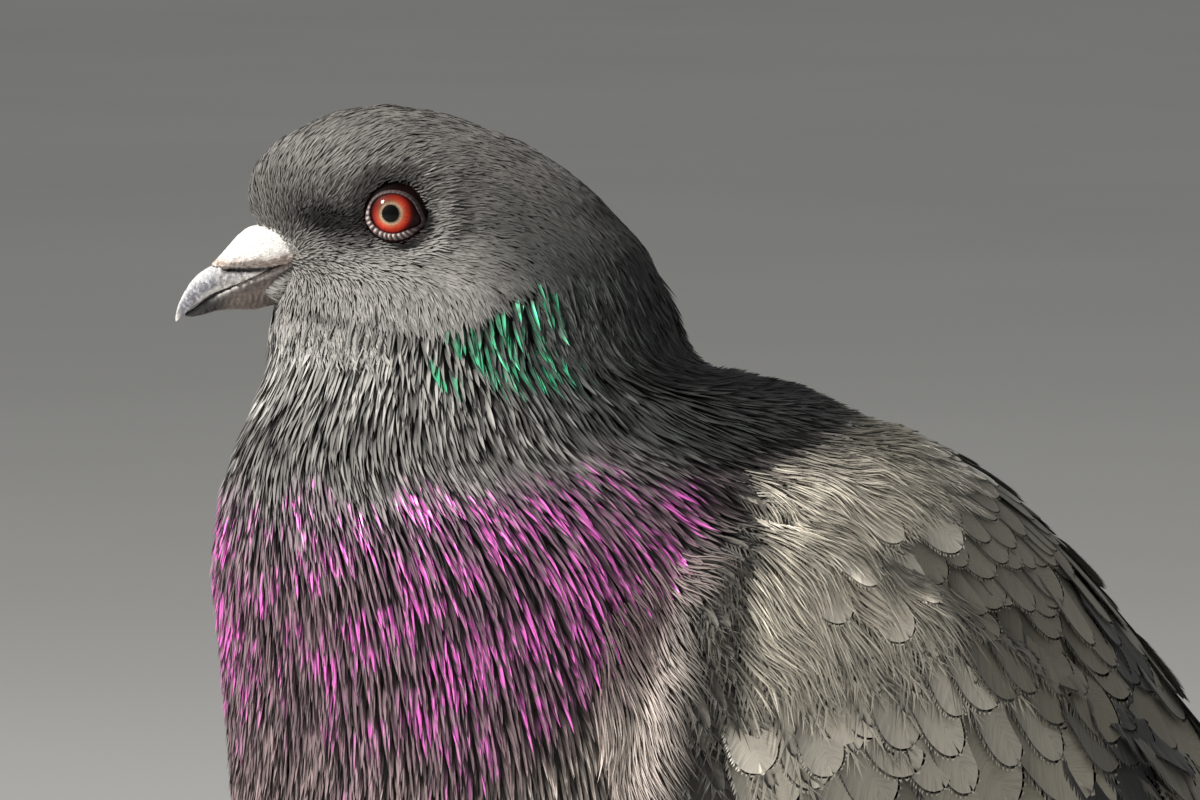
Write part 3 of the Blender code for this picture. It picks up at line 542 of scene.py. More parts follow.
def tuft_piece(name, roots, spines, widths, profile, tint, material, seed,
               root_shade=0.5, fold=0.0, gloss=0.0, tip_tint=None, spots=None):
    """A coat piece of slender tufts. tip_tint and gloss lie on each row of a tuft by its share in
    spots."""
    shapes = blades(*spines, widths, profile, fold)
    run = shapes[2][:, 1]
    # painted shade at each tuft's covered root
    colours = tint[:, None, :] * (root_shade + (1 - root_shade) * ramp(run, 0.0, 0.55))[None, :, None]
    shine = np.zeros(colours.shape[:2])
    if tip_tint is not None:
        tips = spots[:, np.rint(run * (len(profile) - 1)).astype(int)]
        colours, shine = blend(colours, tip_tint[:, None, :], tips), gloss[:, None] * tips
    return feather_piece(name, shapes, unwrapped(*roots, shapes[2]), colours, shine, seed,
                         material)


def vane_piece(name, roots, spines, half_width, template, camber, tint, material, seed,
               paint=None, root_shade=0.6):
    """A coat piece of broad vanes, with painted shade at their roots. paint marks the colours."""
    shapes = vanes(*spines, half_width, template, camber)
    shade = root_shade + (1 - root_shade) * ramp(shapes[2][:, 1], 0.0, 0.5)
    colours = tint[:, None, :] * shade[None, :, None]
    if paint is not None:
        colours = paint(colours, template[0], *roots)
    return feather_piece(name, shapes, unwrapped(*roots, shapes[2]), colours,
                         np.zeros(colours.shape[:2]), seed, material)


# ------------------------------------------------------------------ laying feathers on the body


def scatter(places, angles, pitch, seed, keep, limit=60000):
    """Even random roots, pitch mm apart, on part of the surface. keep gives a share at each."""
    rng = np.random.default_rng(seed)
    count = 400000
    k = np.arange(count)
    u, v = (0.5 + k * 0.7548776662466927) % 1.0, (0.5 + k * 0.5698402909980532) % 1.0
    place = places[0] + u * (places[1] - places[0])
    angle = angles[0] + v * (angles[1] - angles[0])
    point, _, lengthwise, round_it = DRESSED.at(place, angle)
    area = np.linalg.norm(np.cross(lengthwise, round_it), axis=-1)
    total = area.mean() * (places[1] - places[0]) * (angles[1] - angles[0])
    wanted = min(limit, total / (pitch * pitch)) * 3.2
    chance = area / area.mean() * wanted / count * keep(point, place, angle)
    chosen = rng.random(count) < chance
    place, angle, point = place[chosen], angle[chosen], point[chosen]
    taken, cells = [], {}
    reach = pitch * 0.8
    beside = [(i, j, k) for i in (-1, 0, 1) for j in (-1, 0, 1) for k in (-1, 0, 1)]
    corners = np.floor(point / reach).astype(int).tolist()
    for n, ((a, b, c), (x, y, z)) in enumerate(zip(corners, point.tolist())):
        others = (p for i, j, k in beside for p in cells.get((a + i, b + j, c + k), ()))
        if all((x - p) ** 2 + (y - q) ** 2 + (z - r) ** 2 >= reach * reach for p, q, r in others):
            cells.setdefault((a, b, c), []).append((x, y, z))
            taken.append(n)
    return place[taken], angle[taken]


def steps_of(place, angle, direction):
    """Change of ring and angle for a millimetre along the surface in a direction."""
    _, _, lengthwise, round_it = DRESSED.at(place, angle)
    a, b, c = (np.sum(p * q, axis=-1) for p, q in
               ((lengthwise, lengthwise), (lengthwise, round_it), (round_it, round_it)))
    d, e = np.sum(lengthwise * direction, axis=-1), np.sum(round_it * direction, axis=-1)
    scale = np.maximum(a * c - b * b, 1e-9)
    return (c * d - b * e) / scale, (a * e - b * d) / scale


def body_flow(normal, lengthwise, place, angle):
    """Along the body, and nearer to straight down on the sides of the neck."""
    down = unit(normal * normal[..., 2:] - UP)
    side = np.abs(wrapped(angle))
    share = 0.72 * window(place, 8.8, 10.2, 12.4, 14.4) * ramp(side, 138.0, 104.0)
    return unit(unit(lengthwise) * (1 - share)[..., None] + down * share[..., None])


def lay(place, angle, length, lift):
    """Spines that follow the surface from each root. lift is the height above it at each row."""
    spine, normals = [], []
    rows = lift.shape[1]
    for row in range(rows):
        point, normal, lengthwise, _ = DRESSED.at(place, angle)
        spine.append(point + normal * lift[:, row][:, None])
        normals.append(normal)
        by_ring, by_angle = steps_of(place, angle, body_flow(normal, lengthwise, place, angle))
        place = place + by_ring * length / (rows - 1)
        angle = angle + by_angle * length / (rows - 1)
    spine, normals = np.stack(spine, axis=1), np.stack(normals, axis=1)
    return spine, unit(np.cross(np.gradient(spine, axis=1), normals)), normals


def shares(rows):
    """Share of a feather's length at each of its rows."""
    return np.linspace(0, 1, rows)[None, :]


def rolled(across, normal, angles):
    angles = angles[:, None, None]
    return across * np.cos(angles) + normal * np.sin(angles)


# ------------------------------------------------------------------ materials


class Look:
    """A material's nodes, with short ways to add to them."""

    def __init__(self, name):
        self.material = bpy.data.materials.new(name)
        self.material.use_nodes = True
        self.tree = self.material.node_tree
        self.shader = self.tree.nodes["Principled BSDF"]

    def feed(self, sockets, inputs):
        for key, value in inputs.items():
            if isinstance(value, bpy.types.NodeSocket):
                self.tree.links.new(value, sockets[key])
            else:
                sockets[key].default_value = value

    def add(self, kind, inputs, output=0, **settings):
        node = self.tree.nodes.new("ShaderNode" + kind)
        for key, value in settings.items():
            setattr(node, key, value)
        self.feed(node.inputs, inputs)
        return node.outputs[output]

    def value(self, name):
        return self.add("Attribute", {}, "Fac", attribute_name=name)

    def colour(self, name):
        return self.add("VertexColor", {}, "Color", layer_name=name)

    def maths(self, operation, a, b):
        return self.add("Math", {0: a, 1: b}, operation=operation)

    def times(self, a, b):
        return self.add("Mix", {0: 1.0, 6: a, 7: b}, 2, data_type="RGBA", blend_type="MULTIPLY")

    def noise(self, where, scale, detail=2.0, roughness=0.5):
        return self.add("TexNoise", {"Vector": where, "Scale": scale, "Detail": detail,
                                     "Roughness": roughness}, "Fac")

    def ramped(self, factor, stops):
        """A ramp of colours, or of greys where a stop has one number."""
        node = self.tree.nodes.new("ShaderNodeValToRGB")
        self.feed(node.inputs, {"Fac": factor})
        elements = node.color_ramp.elements
        while len(elements) < len(stops):
            elements.new(0.5)
        for element, (position, colour) in zip(elements, stops):
            element.position = position
            element.color = (*np.broadcast_to(colour, 3), 1.0)
        return node.outputs["Color"]

    def finish(self, colour, settings, height=None, strength=0.0, depth=0.0):
        """Base colour, bump of a depth in mm, and the shader's other inputs by name."""
        self.feed(self.shader.inputs, {"Base Color": colour, **settings})
        if height is not None:
            bump = {"Height": height, "Strength": strength, "Distance": depth * MM}
            self.feed(self.shader.inputs, {"Normal": self.add("Bump", bump)})
        return self.material


def plumage(name, stripes, depth, roughness=0.62, by="barb", contrast=0.55):
    """Feather: the tint painted on each vane, with fine barbs drawn along it."""
    look = Look(name)
    tint, shine = look.colour("Tint"), look.value("Gloss")
    vane = look.add("UVMap", {}, "UV", uv_map="Vane")
    u, v = (look.add("SeparateXYZ", {"Vector": vane}, axis) for axis in "XY")
    by_u, by_v = (3.0, stripes) if by == "barb" else (stripes, 2.0)
    where = look.add("CombineXYZ", {
        "X": look.maths("MULTIPLY", u, by_u), "Y": look.maths("MULTIPLY", v, by_v),
        "Z": look.maths("MULTIPLY", look.value("Seed"), 37.0)})
    barbs = look.noise(where, 1.0, 2.0, 0.6)
    shade = look.ramped(barbs, [(0.30, 1 - contrast), (0.52, 1.0), (0.72, 1 + 0.25 * contrast)])
    rough = look.maths("SUBTRACT", roughness, look.maths("MULTIPLY", shine, 0.27))
    return look.finish(look.times(tint, shade), {
        "Roughness": rough, "Metallic": look.maths("MULTIPLY", shine, 0.55), "Sheen Weight": 0.15,
        "Sheen Roughness": 0.4, "Specular IOR Level": 0.35}, barbs, 0.6, depth)


def grained(name, scale, stops, strength, depth, settings):
    """A painted tint with a fine grain."""
    look = Look(name)
    grain = look.noise(look.add("TexCoord", {}, "Object"), scale, 3.0)
    colour = look.times(look.colour("Tint"), look.ramped(grain, stops))
    return look.finish(colour, settings, grain, strength, depth)


def horn_material(name, roughness, scale, depth):
    look = Look(name)
    where = look.add("TexCoord", {}, "Object")
    stretched = look.add("Mapping", {"Vector": where, "Scale": (1.0, 1.0, 2.2)})
    fine = look.noise(stretched, scale, 5.0, 0.7)
    grains = look.add("TexVoronoi", {"Vector": where, "Scale": scale * 1.6}, "Distance")
    shade = look.ramped(fine, [(0.34, 0.62), (0.5, 1.0), (0.68, 1.3)])
    height = look.maths("ADD", fine, look.maths("MULTIPLY", grains, 0.4))
    return look.finish(look.times(look.colour("Tint"), shade), {"Roughness": roughness},
                       height, 0.7, depth)


def iris_material():
    look = Look("iris")
    streak = look.noise(look.colour("Fibre"), 34.0, 4.0, 0.65)
    wander = look.maths("MULTIPLY", look.maths("SUBTRACT", streak, 0.5), 0.035)
    reach = IRIS_RINGS[-1][0]
    rings = look.ramped(look.maths("ADD", look.value("Radius"), wander),
                        [(r / reach, c) for r, c in IRIS_RINGS])
    shade = look.ramped(streak, [(0.32, 0.55), (0.62, 1.15)])
    return look.finish(look.times(look.times(rings, shade), look.value("Shade")), {
        "Roughness": 0.5, "Specular IOR Level": 0.05, "Coat Weight": 0.22,
        "Coat Roughness": 0.02, "Coat IOR": 1.45})


# ------------------------------------------------------------------ skin

SKIN_DEPTH = 0.9              # the coat's depth over the skin
THIGH = np.array([            # x, y, z, half width, half length
    (18.0, 50.0, 86.0, 13.0, 20.0), (19.5, 53.0, 68.0, 12.4, 18.0), (20.3, 57.0, 54.0, 9.4, 12.5),
    (20.2, 60.0, 44.5, 5.8, 7.2), (20.0, 61.0, 38.9, 3.7, 4.3),
])


def thigh_point(place, angle, sign, outset=0.0):
    x, y, z, half_width, half_length = columns_along(THIGH, place)
    cos, sin = circle(angle)
    return np.stack([sign * (x + (half_width + outset) * cos), y + (half_length + outset) * sin,
                     z + 0 * cos], axis=-1)


def make_skin():
    place, angle = np.meshgrid(np.linspace(0.02, LAST_RING, 271), turns(180) - 180, indexing="ij")
    point, normal, _, _ = DRESSED.at(place, angle)
    tint = markings(point, place, angle)[0]
    # painted shade: the skin under the coat is darkened to stand for the shade in the gaps between the
    # feathers
    dim = 0.70 - 0.52 * ramp(place, 8.0, 10.0) + 0.25 * ramp(place, 14.0, 17.0)
    shells = [(point - normal * SKIN_DEPTH, tint * dim[..., None], False)]
    place, angle = np.meshgrid(np.linspace(0, 4, 40), turns(40), indexing="ij")
    for _, sign in SIDES:
        thigh = thigh_point(place, angle, sign, -SKIN_DEPTH * 0.6)
        # painted shade: the skin under the thigh coat darkened likewise
        shells.append((thigh, np.array(BELLY_ASH) * 0.45, sign < 0))
    down = grained("underdown", 900.0, [(0.35, 0.55), (0.65, 1.05)], 0.5, 0.2,
                   {"Roughness": 0.85, "Specular IOR Level": 0.2})
    skin = shell_piece("skin", shells, down, capped=True)
    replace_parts(skin, "head", "neck", "breast", "belly", "rump", "thigh_left", "thigh_right")


# ------------------------------------------------------------------ eyes and lids

IRIS_RINGS = [                # radius in mm from the eye's axis, and colour
    (0.0, (0.002, 0.002, 0.002)), (1.16, (0.002, 0.002, 0.002)), (1.25, (0.40, 0.28, 0.18)),
    (1.50, (0.80, 0.56, 0.38)), (1.72, (0.88, 0.22, 0.11)), (2.15, (0.82, 0.070, 0.034)),
    (2.48, (0.50, 0.030, 0.015)), (2.75, (0.11, 0.006, 0.005)), (3.10, (0.018, 0.004, 0.004)),
    (5.2, (0.01, 0.004, 0.004)),
]
LID_DARK, LID_PALE = np.array((0.045, 0.030, 0.030)), (0.55, 0.46, 0.45)
# Across the lid from its opening: share of its width, rise over the eyeball, and paleness
LID_PROFILE = ((-0.12, -0.55, 0.3), (0.0, 0.02, 0.35), (0.10, 0.34, 0.75), (0.30, 0.52, 1.0),
               (0.52, 0.50, 0.9), (0.75, 0.25, 0.6), (1.0, -0.15, 0.4), (1.15, -0.9, 0.2))


def eye_axes(sign):
    """Centre of the eyeball, the way it looks, and the way back along the head."""
    cos, sin = circle(EYE_LOOKS_AHEAD)
    look = turned((sign * cos, -sin, 0.0), HEAD_TURN)
    return EYE_CENTRES[sign], look, turned((sign * sin, cos, 0.0), HEAD_TURN)


def lid_opening(turn):
    """Reach of the opening between the lids, where turn 0 is to the rear and 90 is up."""
    cos, sin = circle(turn)
    long, tall = np.where(cos > 0, 3.35, 3.05), np.where(sin > 0, 2.62, 2.82)
    oval = 1.0 / np.sqrt((cos / long) ** 2 + (sin / tall) ** 2)
    return oval + 0.75 * spot(wrapped(turn + 20.0), 0.0, 17.0)


def lid_fullness(turn):
    """1 along the lower lid, small along the upper lid and to the rear."""
    return 0.15 + 0.85 * ramp(np.abs(wrapped(turn + 108.0)), 88.0, 50.0)


def lid_edge(turn):
    return lid_opening(turn) + 0.42 + 0.60 * lid_fullness(turn)


def make_eyes():
    iris = iris_material()
    lid = grained("lid_skin", 3500.0, [(0.35, 0.75), (0.7, 1.15)], 0.4, 0.05, {
        "Roughness": 0.6, "Specular IOR Level": 0.2, "Subsurface Weight": 0.15,
        "Subsurface Radius": (0.0012, 0.0005, 0.0003)})
    for side, sign in SIDES:
        centre, look, rear = eye_axes(sign)
        tilt = np.radians(np.linspace(0.0, 140.0, 60))[:, None]
        turn = turns(96)
        cos, sin = circle(turn)
        radius, ahead = EYE_RADIUS * np.sin(tilt), np.cos(tilt) > 0
        cornea = 0.55 * np.maximum(0.0, 1 - (radius / 3.3) ** 2) * ahead
        depth = EYE_RADIUS * np.cos(tilt) + cornea - 0.12
        out = rear * cos[..., None] + UP * sin[..., None]
        points = centre + look * depth[..., None] + out * radius[..., None]
        fibre = np.broadcast_arrays(0.5 + 0.5 * cos, 0.5 + 0.5 * sin, 0.05 * radius)
        reach = np.where(ahead, radius, IRIS_RINGS[-1][0]) + 0 * turn
        lit = 0.5 + 0.5 * np.cos(np.radians(turn + 50.0)) * ramp(radius, 1.2, 1.6)
        faces = grid_faces(*reach.shape, wrap=True)
        eye = piece_of(f"eyeball_{side}", points, [faces if sign > 0 else faces[:, ::-1]], {}, {
            "Fibre": np.stack(fibre, axis=-1), "Radius": reach / IRIS_RINGS[-1][0],
            "Shade": 0.12 + 0.98 * np.clip(lit, 0, 1) ** 1.2}, iris)
        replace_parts(eye, f"eye_{side}")

        turn = turns(224)[0]
        cos, sin = circle(turn)
        inner, full = lid_opening(turn), lid_fullness(turn)
        width = lid_edge(turn) - inner
        out = rear * cos[:, None] + UP * sin[:, None]
        bead = 0.5 + 0.5 * np.cos(np.radians(turn) * 30 + 0.6 * np.sin(np.radians(turn) * 7))
        front = ramp(cos, -0.3, -0.9) * ramp(sin, 0.6, 0.1)
        clear = np.clip(0.03 + 0.97 * bead * np.maximum(full, 0.8 * front) ** 1.4, 0, 1)
        points, tints = [], []
        for share, rise, pale in LID_PROFILE:
            reach = inner + width * share
            ball = np.sqrt(np.maximum(EYE_RADIUS**2 - np.minimum(reach, 4.6) ** 2, 1.0))
            beaded = (0.30 * bead - 0.12) * full * spot(share, 0.42, 0.30)
            height = ball + rise * (0.6 + 0.4 * full) + beaded
            points.append(centre + look * height[:, None] + out * (reach + 0.35 * beaded)[:, None])
            tints.append(blend(LID_DARK, LID_PALE, pale * clear))
        shells = [(np.stack(points), np.stack(tints), sign < 0)]
        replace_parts(shell_piece(f"lids_{side}", shells, lid), f"eye_ring_{side}")


# ------------------------------------------------------------------ bill and cere

# Sections of the bill: lower edge (ahead, height), upper edge (ahead, height), half width
UPPER_BILL = np.array([
    (20.0, 197.6, 20.0, 200.0, 3.2), (24.6, 197.2, 25.0, 200.2, 3.5),
    (28.6, 195.75, 29.5, 199.4, 3.7), (31.85, 194.25, 32.8, 197.9, 3.35),
    (34.1, 193.3, 35.2, 196.6, 2.95), (36.4, 192.35, 37.35, 195.5, 2.55),
    (38.0, 191.3, 39.0, 194.2, 2.05), (39.3, 190.3, 40.35, 192.2, 1.45),
    (40.5, 189.2, 41.15, 190.5, 0.85), (41.2, 188.5, 41.5, 189.0, 0.35),
    (41.45, 188.3, 41.5, 188.4, 0.05),
])
LOWER_BILL = np.array([
    (20.0, 191.6, 20.0, 197.4, 3.2), (25.5, 191.2, 25.0, 196.85, 3.5),
    (28.5, 190.5, 28.4, 195.55, 3.5), (30.5, 190.0, 30.0, 194.95, 3.35),
    (31.9, 189.9, 31.85, 194.1, 3.15), (33.8, 189.95, 34.0, 193.1, 2.75),
    (35.9, 189.75, 36.0, 192.15, 2.3), (37.7, 189.25, 37.6, 191.2, 1.8),
    (39.2, 188.95, 38.9, 190.2, 1.1), (40.0, 189.0, 40.0, 189.5, 0.35),
    (40.2, 189.15, 40.2, 189.25, 0.05),
])
# Slit of the nostril: ahead, height
SLIT = [(24.0, 198.2), (27.9, 196.05), (29.6, 195.75), (32.0, 195.5), (34.7, 195.6), (36.0, 195.8)]
# Lobes of the cere: ahead, lowest, highest, middle from the head's middle plane, half width
CERE = np.array([
    (23.4, 197.7, 198.3, 4.4, 0.25), (24.2, 197.2, 199.2, 3.75, 0.9), (25.4, 196.7, 200.4, 3.1, 1.6),
    (27.2, 196.2, 201.15, 2.6, 2.2), (29.4, 195.85, 201.5, 2.25, 2.3),
    (31.4, 195.75, 201.15, 1.95, 2.1), (33.0, 195.7, 200.0, 1.7, 1.85),
    (34.6, 195.7, 198.2, 1.4, 1.5), (35.8, 195.8, 196.9, 1.1, 1.05), (36.5, 195.95, 196.25, 0.8, 0.4),
])


def from_head(x, ahead, height):
    return turned(np.stack(np.broadcast_arrays(x, -ahead, height), axis=-1), HEAD_TURN)


def swept(sections, rows, columns):
    """A grid along the sections: its place along them, cosine and sine around, and values."""
    place = np.linspace(0, len(sections) - 1, rows)[:, None]
    cos, sin = circle(turns(columns))
    return place + 0 * cos, cos, sin, columns_along(sections, place + 0 * cos)


def from_middle(points):
    return points - points.mean(axis=1, keepdims=True)


def make_upper_bill(horn):
    place, cos, sin, (low_s, low_z, high_s, high_z, half) = swept(UPPER_BILL, 110, 72)
    over = np.maximum(cos, 0)             # over the culmen; the rest is the palate
    share = np.where(cos > 0, np.abs(cos) ** 0.9, -0.06 * np.abs(cos))
    ahead, height = low_s + (high_s - low_s) * share, low_z + (high_z - low_z) * share
    in_slit = spot(height, edge(SLIT, ahead), 0.34) * ramp(ahead, 35.3, 34.3) * (np.abs(sin) > 0.3)
    x = half * power(sin, 0.8) * (1 + 0.10 * over * (1 - over))
    x = x - np.sign(sin) * 0.85 * in_slit * np.minimum(half, 2.5) / 2.5
    points = from_head(x, ahead, height)
    flakes = patches(points * (1.0, 1.0, 1.6), 0.9, 83) + 0.7 * patches(points, 0.45, 84)
    wrinkled = ramp(ahead, 37.0, 34.5)
    points += from_middle(points) * (0.016 * flakes * (0.6 + 0.9 * wrinkled))[..., None]
    tint = painted(
        (0.085, 0.085, 0.100),
        ((0.30, 0.295, 0.33), ramp(flakes, 0.0, 1.3) * 0.75),
        ((0.36, 0.34, 0.33), wrinkled * (0.45 + 0.25 * np.clip(flakes, -1, 1))),
        ((0.55, 0.55, 0.57), ramp(share, 0.66, 1.0) * ramp(ahead, 34.0, 37.0) * 0.8),
        ((0.44, 0.42, 0.40), ramp(share, 0.26, 0.02) * ramp(ahead, 40.5, 36.0) * 0.8),
        ((0.62, 0.60, 0.56), ramp(place, 7.6, 9.6) * 0.8),
        # painted shade: the nostril's slit near-black
        ((0.006, 0.005, 0.005), np.clip(1.3 * in_slit, 0, 1)),
    )
    bill = shell_piece("bill_upper_horn", [(points, tint, False)], horn)
    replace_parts(bill, "bill_upper")


def make_lower_bill(horn):
    _, cos, sin, (low_s, low_z, high_s, high_z, half) = swept(LOWER_BILL, 110, 72)
    upper = cos > 0
    share = np.where(upper, 1.0 - 0.10 * np.abs(cos), 1 - np.abs(cos) ** 0.85)
    ahead, height = low_s + (high_s - low_s) * share, low_z + (high_z - low_z) * share
    rim = spot(height, high_z - 0.40, 0.50) * ramp(ahead, 37.5, 34.5)
    wide = 0.90 * power(sin, np.where(upper, 1.0, 0.55))
    x = half * wide + np.sign(sin) * 0.42 * rim * (np.abs(sin) > 0.5)
    points = from_head(x, ahead, height)
    flakes = patches(points, 0.7, 86) + 0.6 * np.sin(ahead * 2 * math.pi / 0.8 + height * 3.0)
    points += from_middle(points) * (0.014 * flakes)[..., None]
    # near-black in front as painted shadow under the upper bill's overhang; browner further back
    tint = painted(
        (0.007, 0.007, 0.008),
        ((0.13, 0.10, 0.085), ramp(ahead, 36.0, 33.6) * 0.85),
        ((0.42, 0.395, 0.385), rim * np.clip(0.75 + 0.25 * flakes, 0, 1)),
        ((0.20, 0.11, 0.10), upper * ramp(ahead, 34.0, 27.0) * 0.6),
    )
    bill = shell_piece("bill_lower_horn", [(points, tint, True)], horn)
    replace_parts(bill, "bill_lower")


def make_bill():
    horn = horn_material("bill_horn_fine", 0.42, 1400.0, 0.10)
    make_upper_bill(horn)
    make_lower_bill(horn)
    powder = horn_material("cere_powder", 0.9, 2200.0, 0.13)
    for side, sign in SIDES:
        _, cos, sin, (ahead, low, high, middle, half) = swept(CERE, 80, 64)
        rise = power(sin, np.where(sin > 0, 0.9, 0.75))
        height = (low + high) / 2 + (high - low) / 2 * rise
        x = middle + half * power(cos, 0.85) * (1 - 0.22 * rise)
        points = from_head(sign * x, ahead, height)
        lumps = patches(points, 1.5, 7) * 0.05 + patches(points, 0.6, 8) * 0.03
        low_part = ramp(height, low + 2.1, low + 0.6)
        points += unit(from_middle(points)) * (lumps * (0.5 + 1.5 * low_part))[..., None]
        mottle = np.clip(low_part * (0.85 + 0.5 * patches(points, 0.7, 9)), 0, 1)
        tint = painted((0.64, 0.62, 0.60), ((0.26, 0.185, 0.150), mottle * 0.9))
        lobe = shell_piece(f"cere_lobe_{side}", [(points, tint, sign > 0)], powder)
        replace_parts(lobe, f"cere_{side}")


# ------------------------------------------------------------------ coats of tufts

BILL_ROOT = (26.0, 197.0)     # ahead of the neck's axis, above the floor
HEAD_BEND = 15.0              # radius of the head under a tuft
HAIR = (0.8, 1.0, 0.8, 0.0)   # widths of a short tuft, from root to tip


def head_flow(point, normal, lengthwise):
    """Feathers run back from the bill over the head, and turn down behind the eye to the neck."""
    away = point - from_head(0.0, *BILL_ROOT)
    far, low = ramp(np.linalg.norm(away, axis=-1), 18.0, 52.0), ramp(point[..., 2], 199.0, 190.0)
    share = np.maximum(far, 0.8 * low)[..., None]
    wish = unit(away) * (1 - share) + unit(lengthwise) * share
    return unit(wish - normal * np.sum(wish * normal, axis=-1, keepdims=True))


def one_way(direction, normal, roll, rows):
    """The way across a straight tuft, the same at each of its rows."""
    across = np.repeat(unit(np.cross(direction, normal))[:, None], rows, axis=1)
    return rolled(across, normal[:, None], roll)


def at_cheek_edge(point, below):
    """Beside the cheek's lower hind edge, and more than so many mm below it."""
    x, s, z = head_frame(point)
    beside = (np.abs(x) > 3.0) & (s > -8.0) & (s < 13.0)
    return beside & (z < np.interp(s, *CHEEK_EDGE) - below)


def clear_of_face(point, place, angle):
    """1 where feathers grow: not on the eye, the bill or the cere, nor under the cheek."""
    x, s, z = head_frame(point)
    up, rear = z - EYE_HEIGHT, EYE_AHEAD - s
    lids = np.hypot(up, rear) < lid_edge(np.degrees(np.arctan2(up, rear))) - 0.10
    bill = (s > 21.0) & (z > 188.6) & (z < 200.6) & (np.abs(x) < 4.1)
    return 1.0 - ((lids & (np.abs(x) > 5.0)) | bill | at_cheek_edge(point, 0.4))


def make_head_coat():
    place, angle = scatter((0.0, 10.6), (-180.0, 180.0), 0.37, 11, clear_of_face)
    rng = np.random.default_rng(12)
    point, normal, lengthwise, _ = DRESSED.at(place, angle)
    _, s, z = head_frame(point)
    direction = head_flow(point, normal, lengthwise)
    count = len(place)
    near = np.hypot(s - BILL_ROOT[0], z - BILL_ROOT[1])
    length = 1.3 + 1.1 * ramp(near, 3.0, 26.0) + 1.4 * ramp(place, 7.5, 10.2)
    length = length * rng.uniform(0.8, 1.2, count)
    length = length * (0.42 + 0.58 * ramp(np.hypot(s - EYE_AHEAD, z - EYE_HEIGHT), 3.3, 7.5))
    bunch = (rng.normal(0, 0.08, count) + 0.16 * patches(point, 1.6, 5))[:, None]
    direction = unit(direction + unit(np.cross(direction, normal)) * bunch)
    f = shares(4)[..., None]
    run = length[:, None, None] * f
    loose = (0.30 + 0.30 * ramp(place, 7.0, 10.0) + 0.10 * rng.random(count))[:, None, None]
    rise = -0.32 + loose * f ** 0.7 + 0.04 * patches(point, 1.3, 6)[:, None, None]
    rise = rise - run * run / (2 * HEAD_BEND)
    spine = point[:, None] + direction[:, None] * run + normal[:, None] * rise
    across = one_way(direction, normal, rng.normal(0, 0.30, count), 4)
    widths = (0.105 + 0.04 * ramp(length, 1.5, 3.0)) * rng.uniform(0.8, 1.25, count)
    tint = markings(point, place, angle)[0] * rng.uniform(0.80, 1.22, count)[:, None]
    tint = tint * (1 + 0.07 * patches(point, 5.0, 3) + 0.10 * patches(point, 1.1, 4))[:, None]
    hair = plumage("head_hair", 3.0, 0.03, by="length", contrast=0.2)
    tuft_piece("coat_head", (place, angle), (spine, across), widths, HAIR, tint, hair,
               13)


def make_gape_coat():
    """Short feathers that come forward from the cheek over the root of the lower bill."""
    for side, sign in SIDES:
        rng = np.random.default_rng(95)
        ahead, height = rng.uniform(21.8, 29.3, 2600), rng.uniform(189.8, 197.6, 2600)
        keep = ahead < np.minimum(24.9 + (197.3 - height) * 0.95,
                                  29.3 - 0.8 * np.maximum(192.6 - height, 0))
        ahead, height = ahead[keep], height[keep]
        count = len(ahead)
        low, high = (np.interp(ahead, *LOWER_BILL[:7, k:k + 2].T) for k in (0, 2))
        share = np.clip((height - low) / (high - low), 0.02, 1.0)
        x = (3.25 + 0.5 * ramp(ahead, 25.5, 22.5)) * np.sqrt(1 - (1 - share) ** 3) + 0.05
        root = from_head(sign * x, ahead, height)
        direction = unit(from_head(sign * 0.12, -1.0, -0.30 + rng.normal(0, 0.10, count)))
        normal = np.broadcast_to(unit(from_head(sign * 1.0, 0.1, -0.15)), root.shape)
        f = shares(4)[..., None]
        length = rng.uniform(1.2, 2.1, count)[:, None, None]
        rise = (0.38 + 0.2 * rng.random(count)[:, None, None]) * f ** 0.7
        spine = root[:, None] + direction[:, None] * length * f + normal[:, None] * rise
        across = one_way(direction, normal, rng.normal(0, 0.3, count), 4)
        tint = np.array(CHEEK_GREY) * rng.uniform(0.75, 1.25, count)[:, None]
        tuft_piece(f"coat_gape_{side}", (ahead, height), (spine, across),
                   0.12 * rng.uniform(0.8, 1.3, count), HAIR, tint,
                   bpy.data.materials["head_hair"], 96)


def hashed(a, b, seed):
    return (np.sin(a * 127.1 + b * 311.7 + seed * 74.7) * 43758.5453) % 1.0


def locks(place, angle, wide, tall, seed):
    """Neighbouring tufts gather into locks: how far each lies across from its lock's middle, in mm,
    and a number from 0 to 1 for its lock."""
    spots = DRESSED.places
    _, _, lengthwise, round_it = DRESSED.at(spots, np.full(len(spots), 60.0))
    per_ring, per_degree = (np.linalg.norm(v, axis=-1) for v in (lengthwise, round_it))
    run = np.concatenate([[0.0], np.cumsum(per_ring[1:] * np.diff(spots))])
    down, scale = np.interp(place, spots, run), np.interp(place, spots, per_degree)
    best = np.full(len(place), 1e9)
    across, number = np.zeros(len(place)), np.zeros(len(place))
    for row in (np.floor(down / tall) + k for k in (-1, 0, 1)):
        middle = (row + 0.5) * tall
        step = wide / np.interp(middle, run, per_degree)
        for column in (np.floor(angle / step) + k for k in (-1, 0, 1)):
            centre = (column + 0.5 + 0.7 * (hashed(row, column, seed) - 0.5)) * step
            du = (angle - centre) * scale
            ds = (down - middle - 0.8 * tall * (hashed(column, row, seed + 1) - 0.5)) * wide / tall
            closer = du * du + ds * ds < best
            best = np.where(closer, du * du + ds * ds, best)
            across = np.where(closer, du, across)
            number = np.where(closer, hashed(row, column, seed + 2), number)
    return across, number


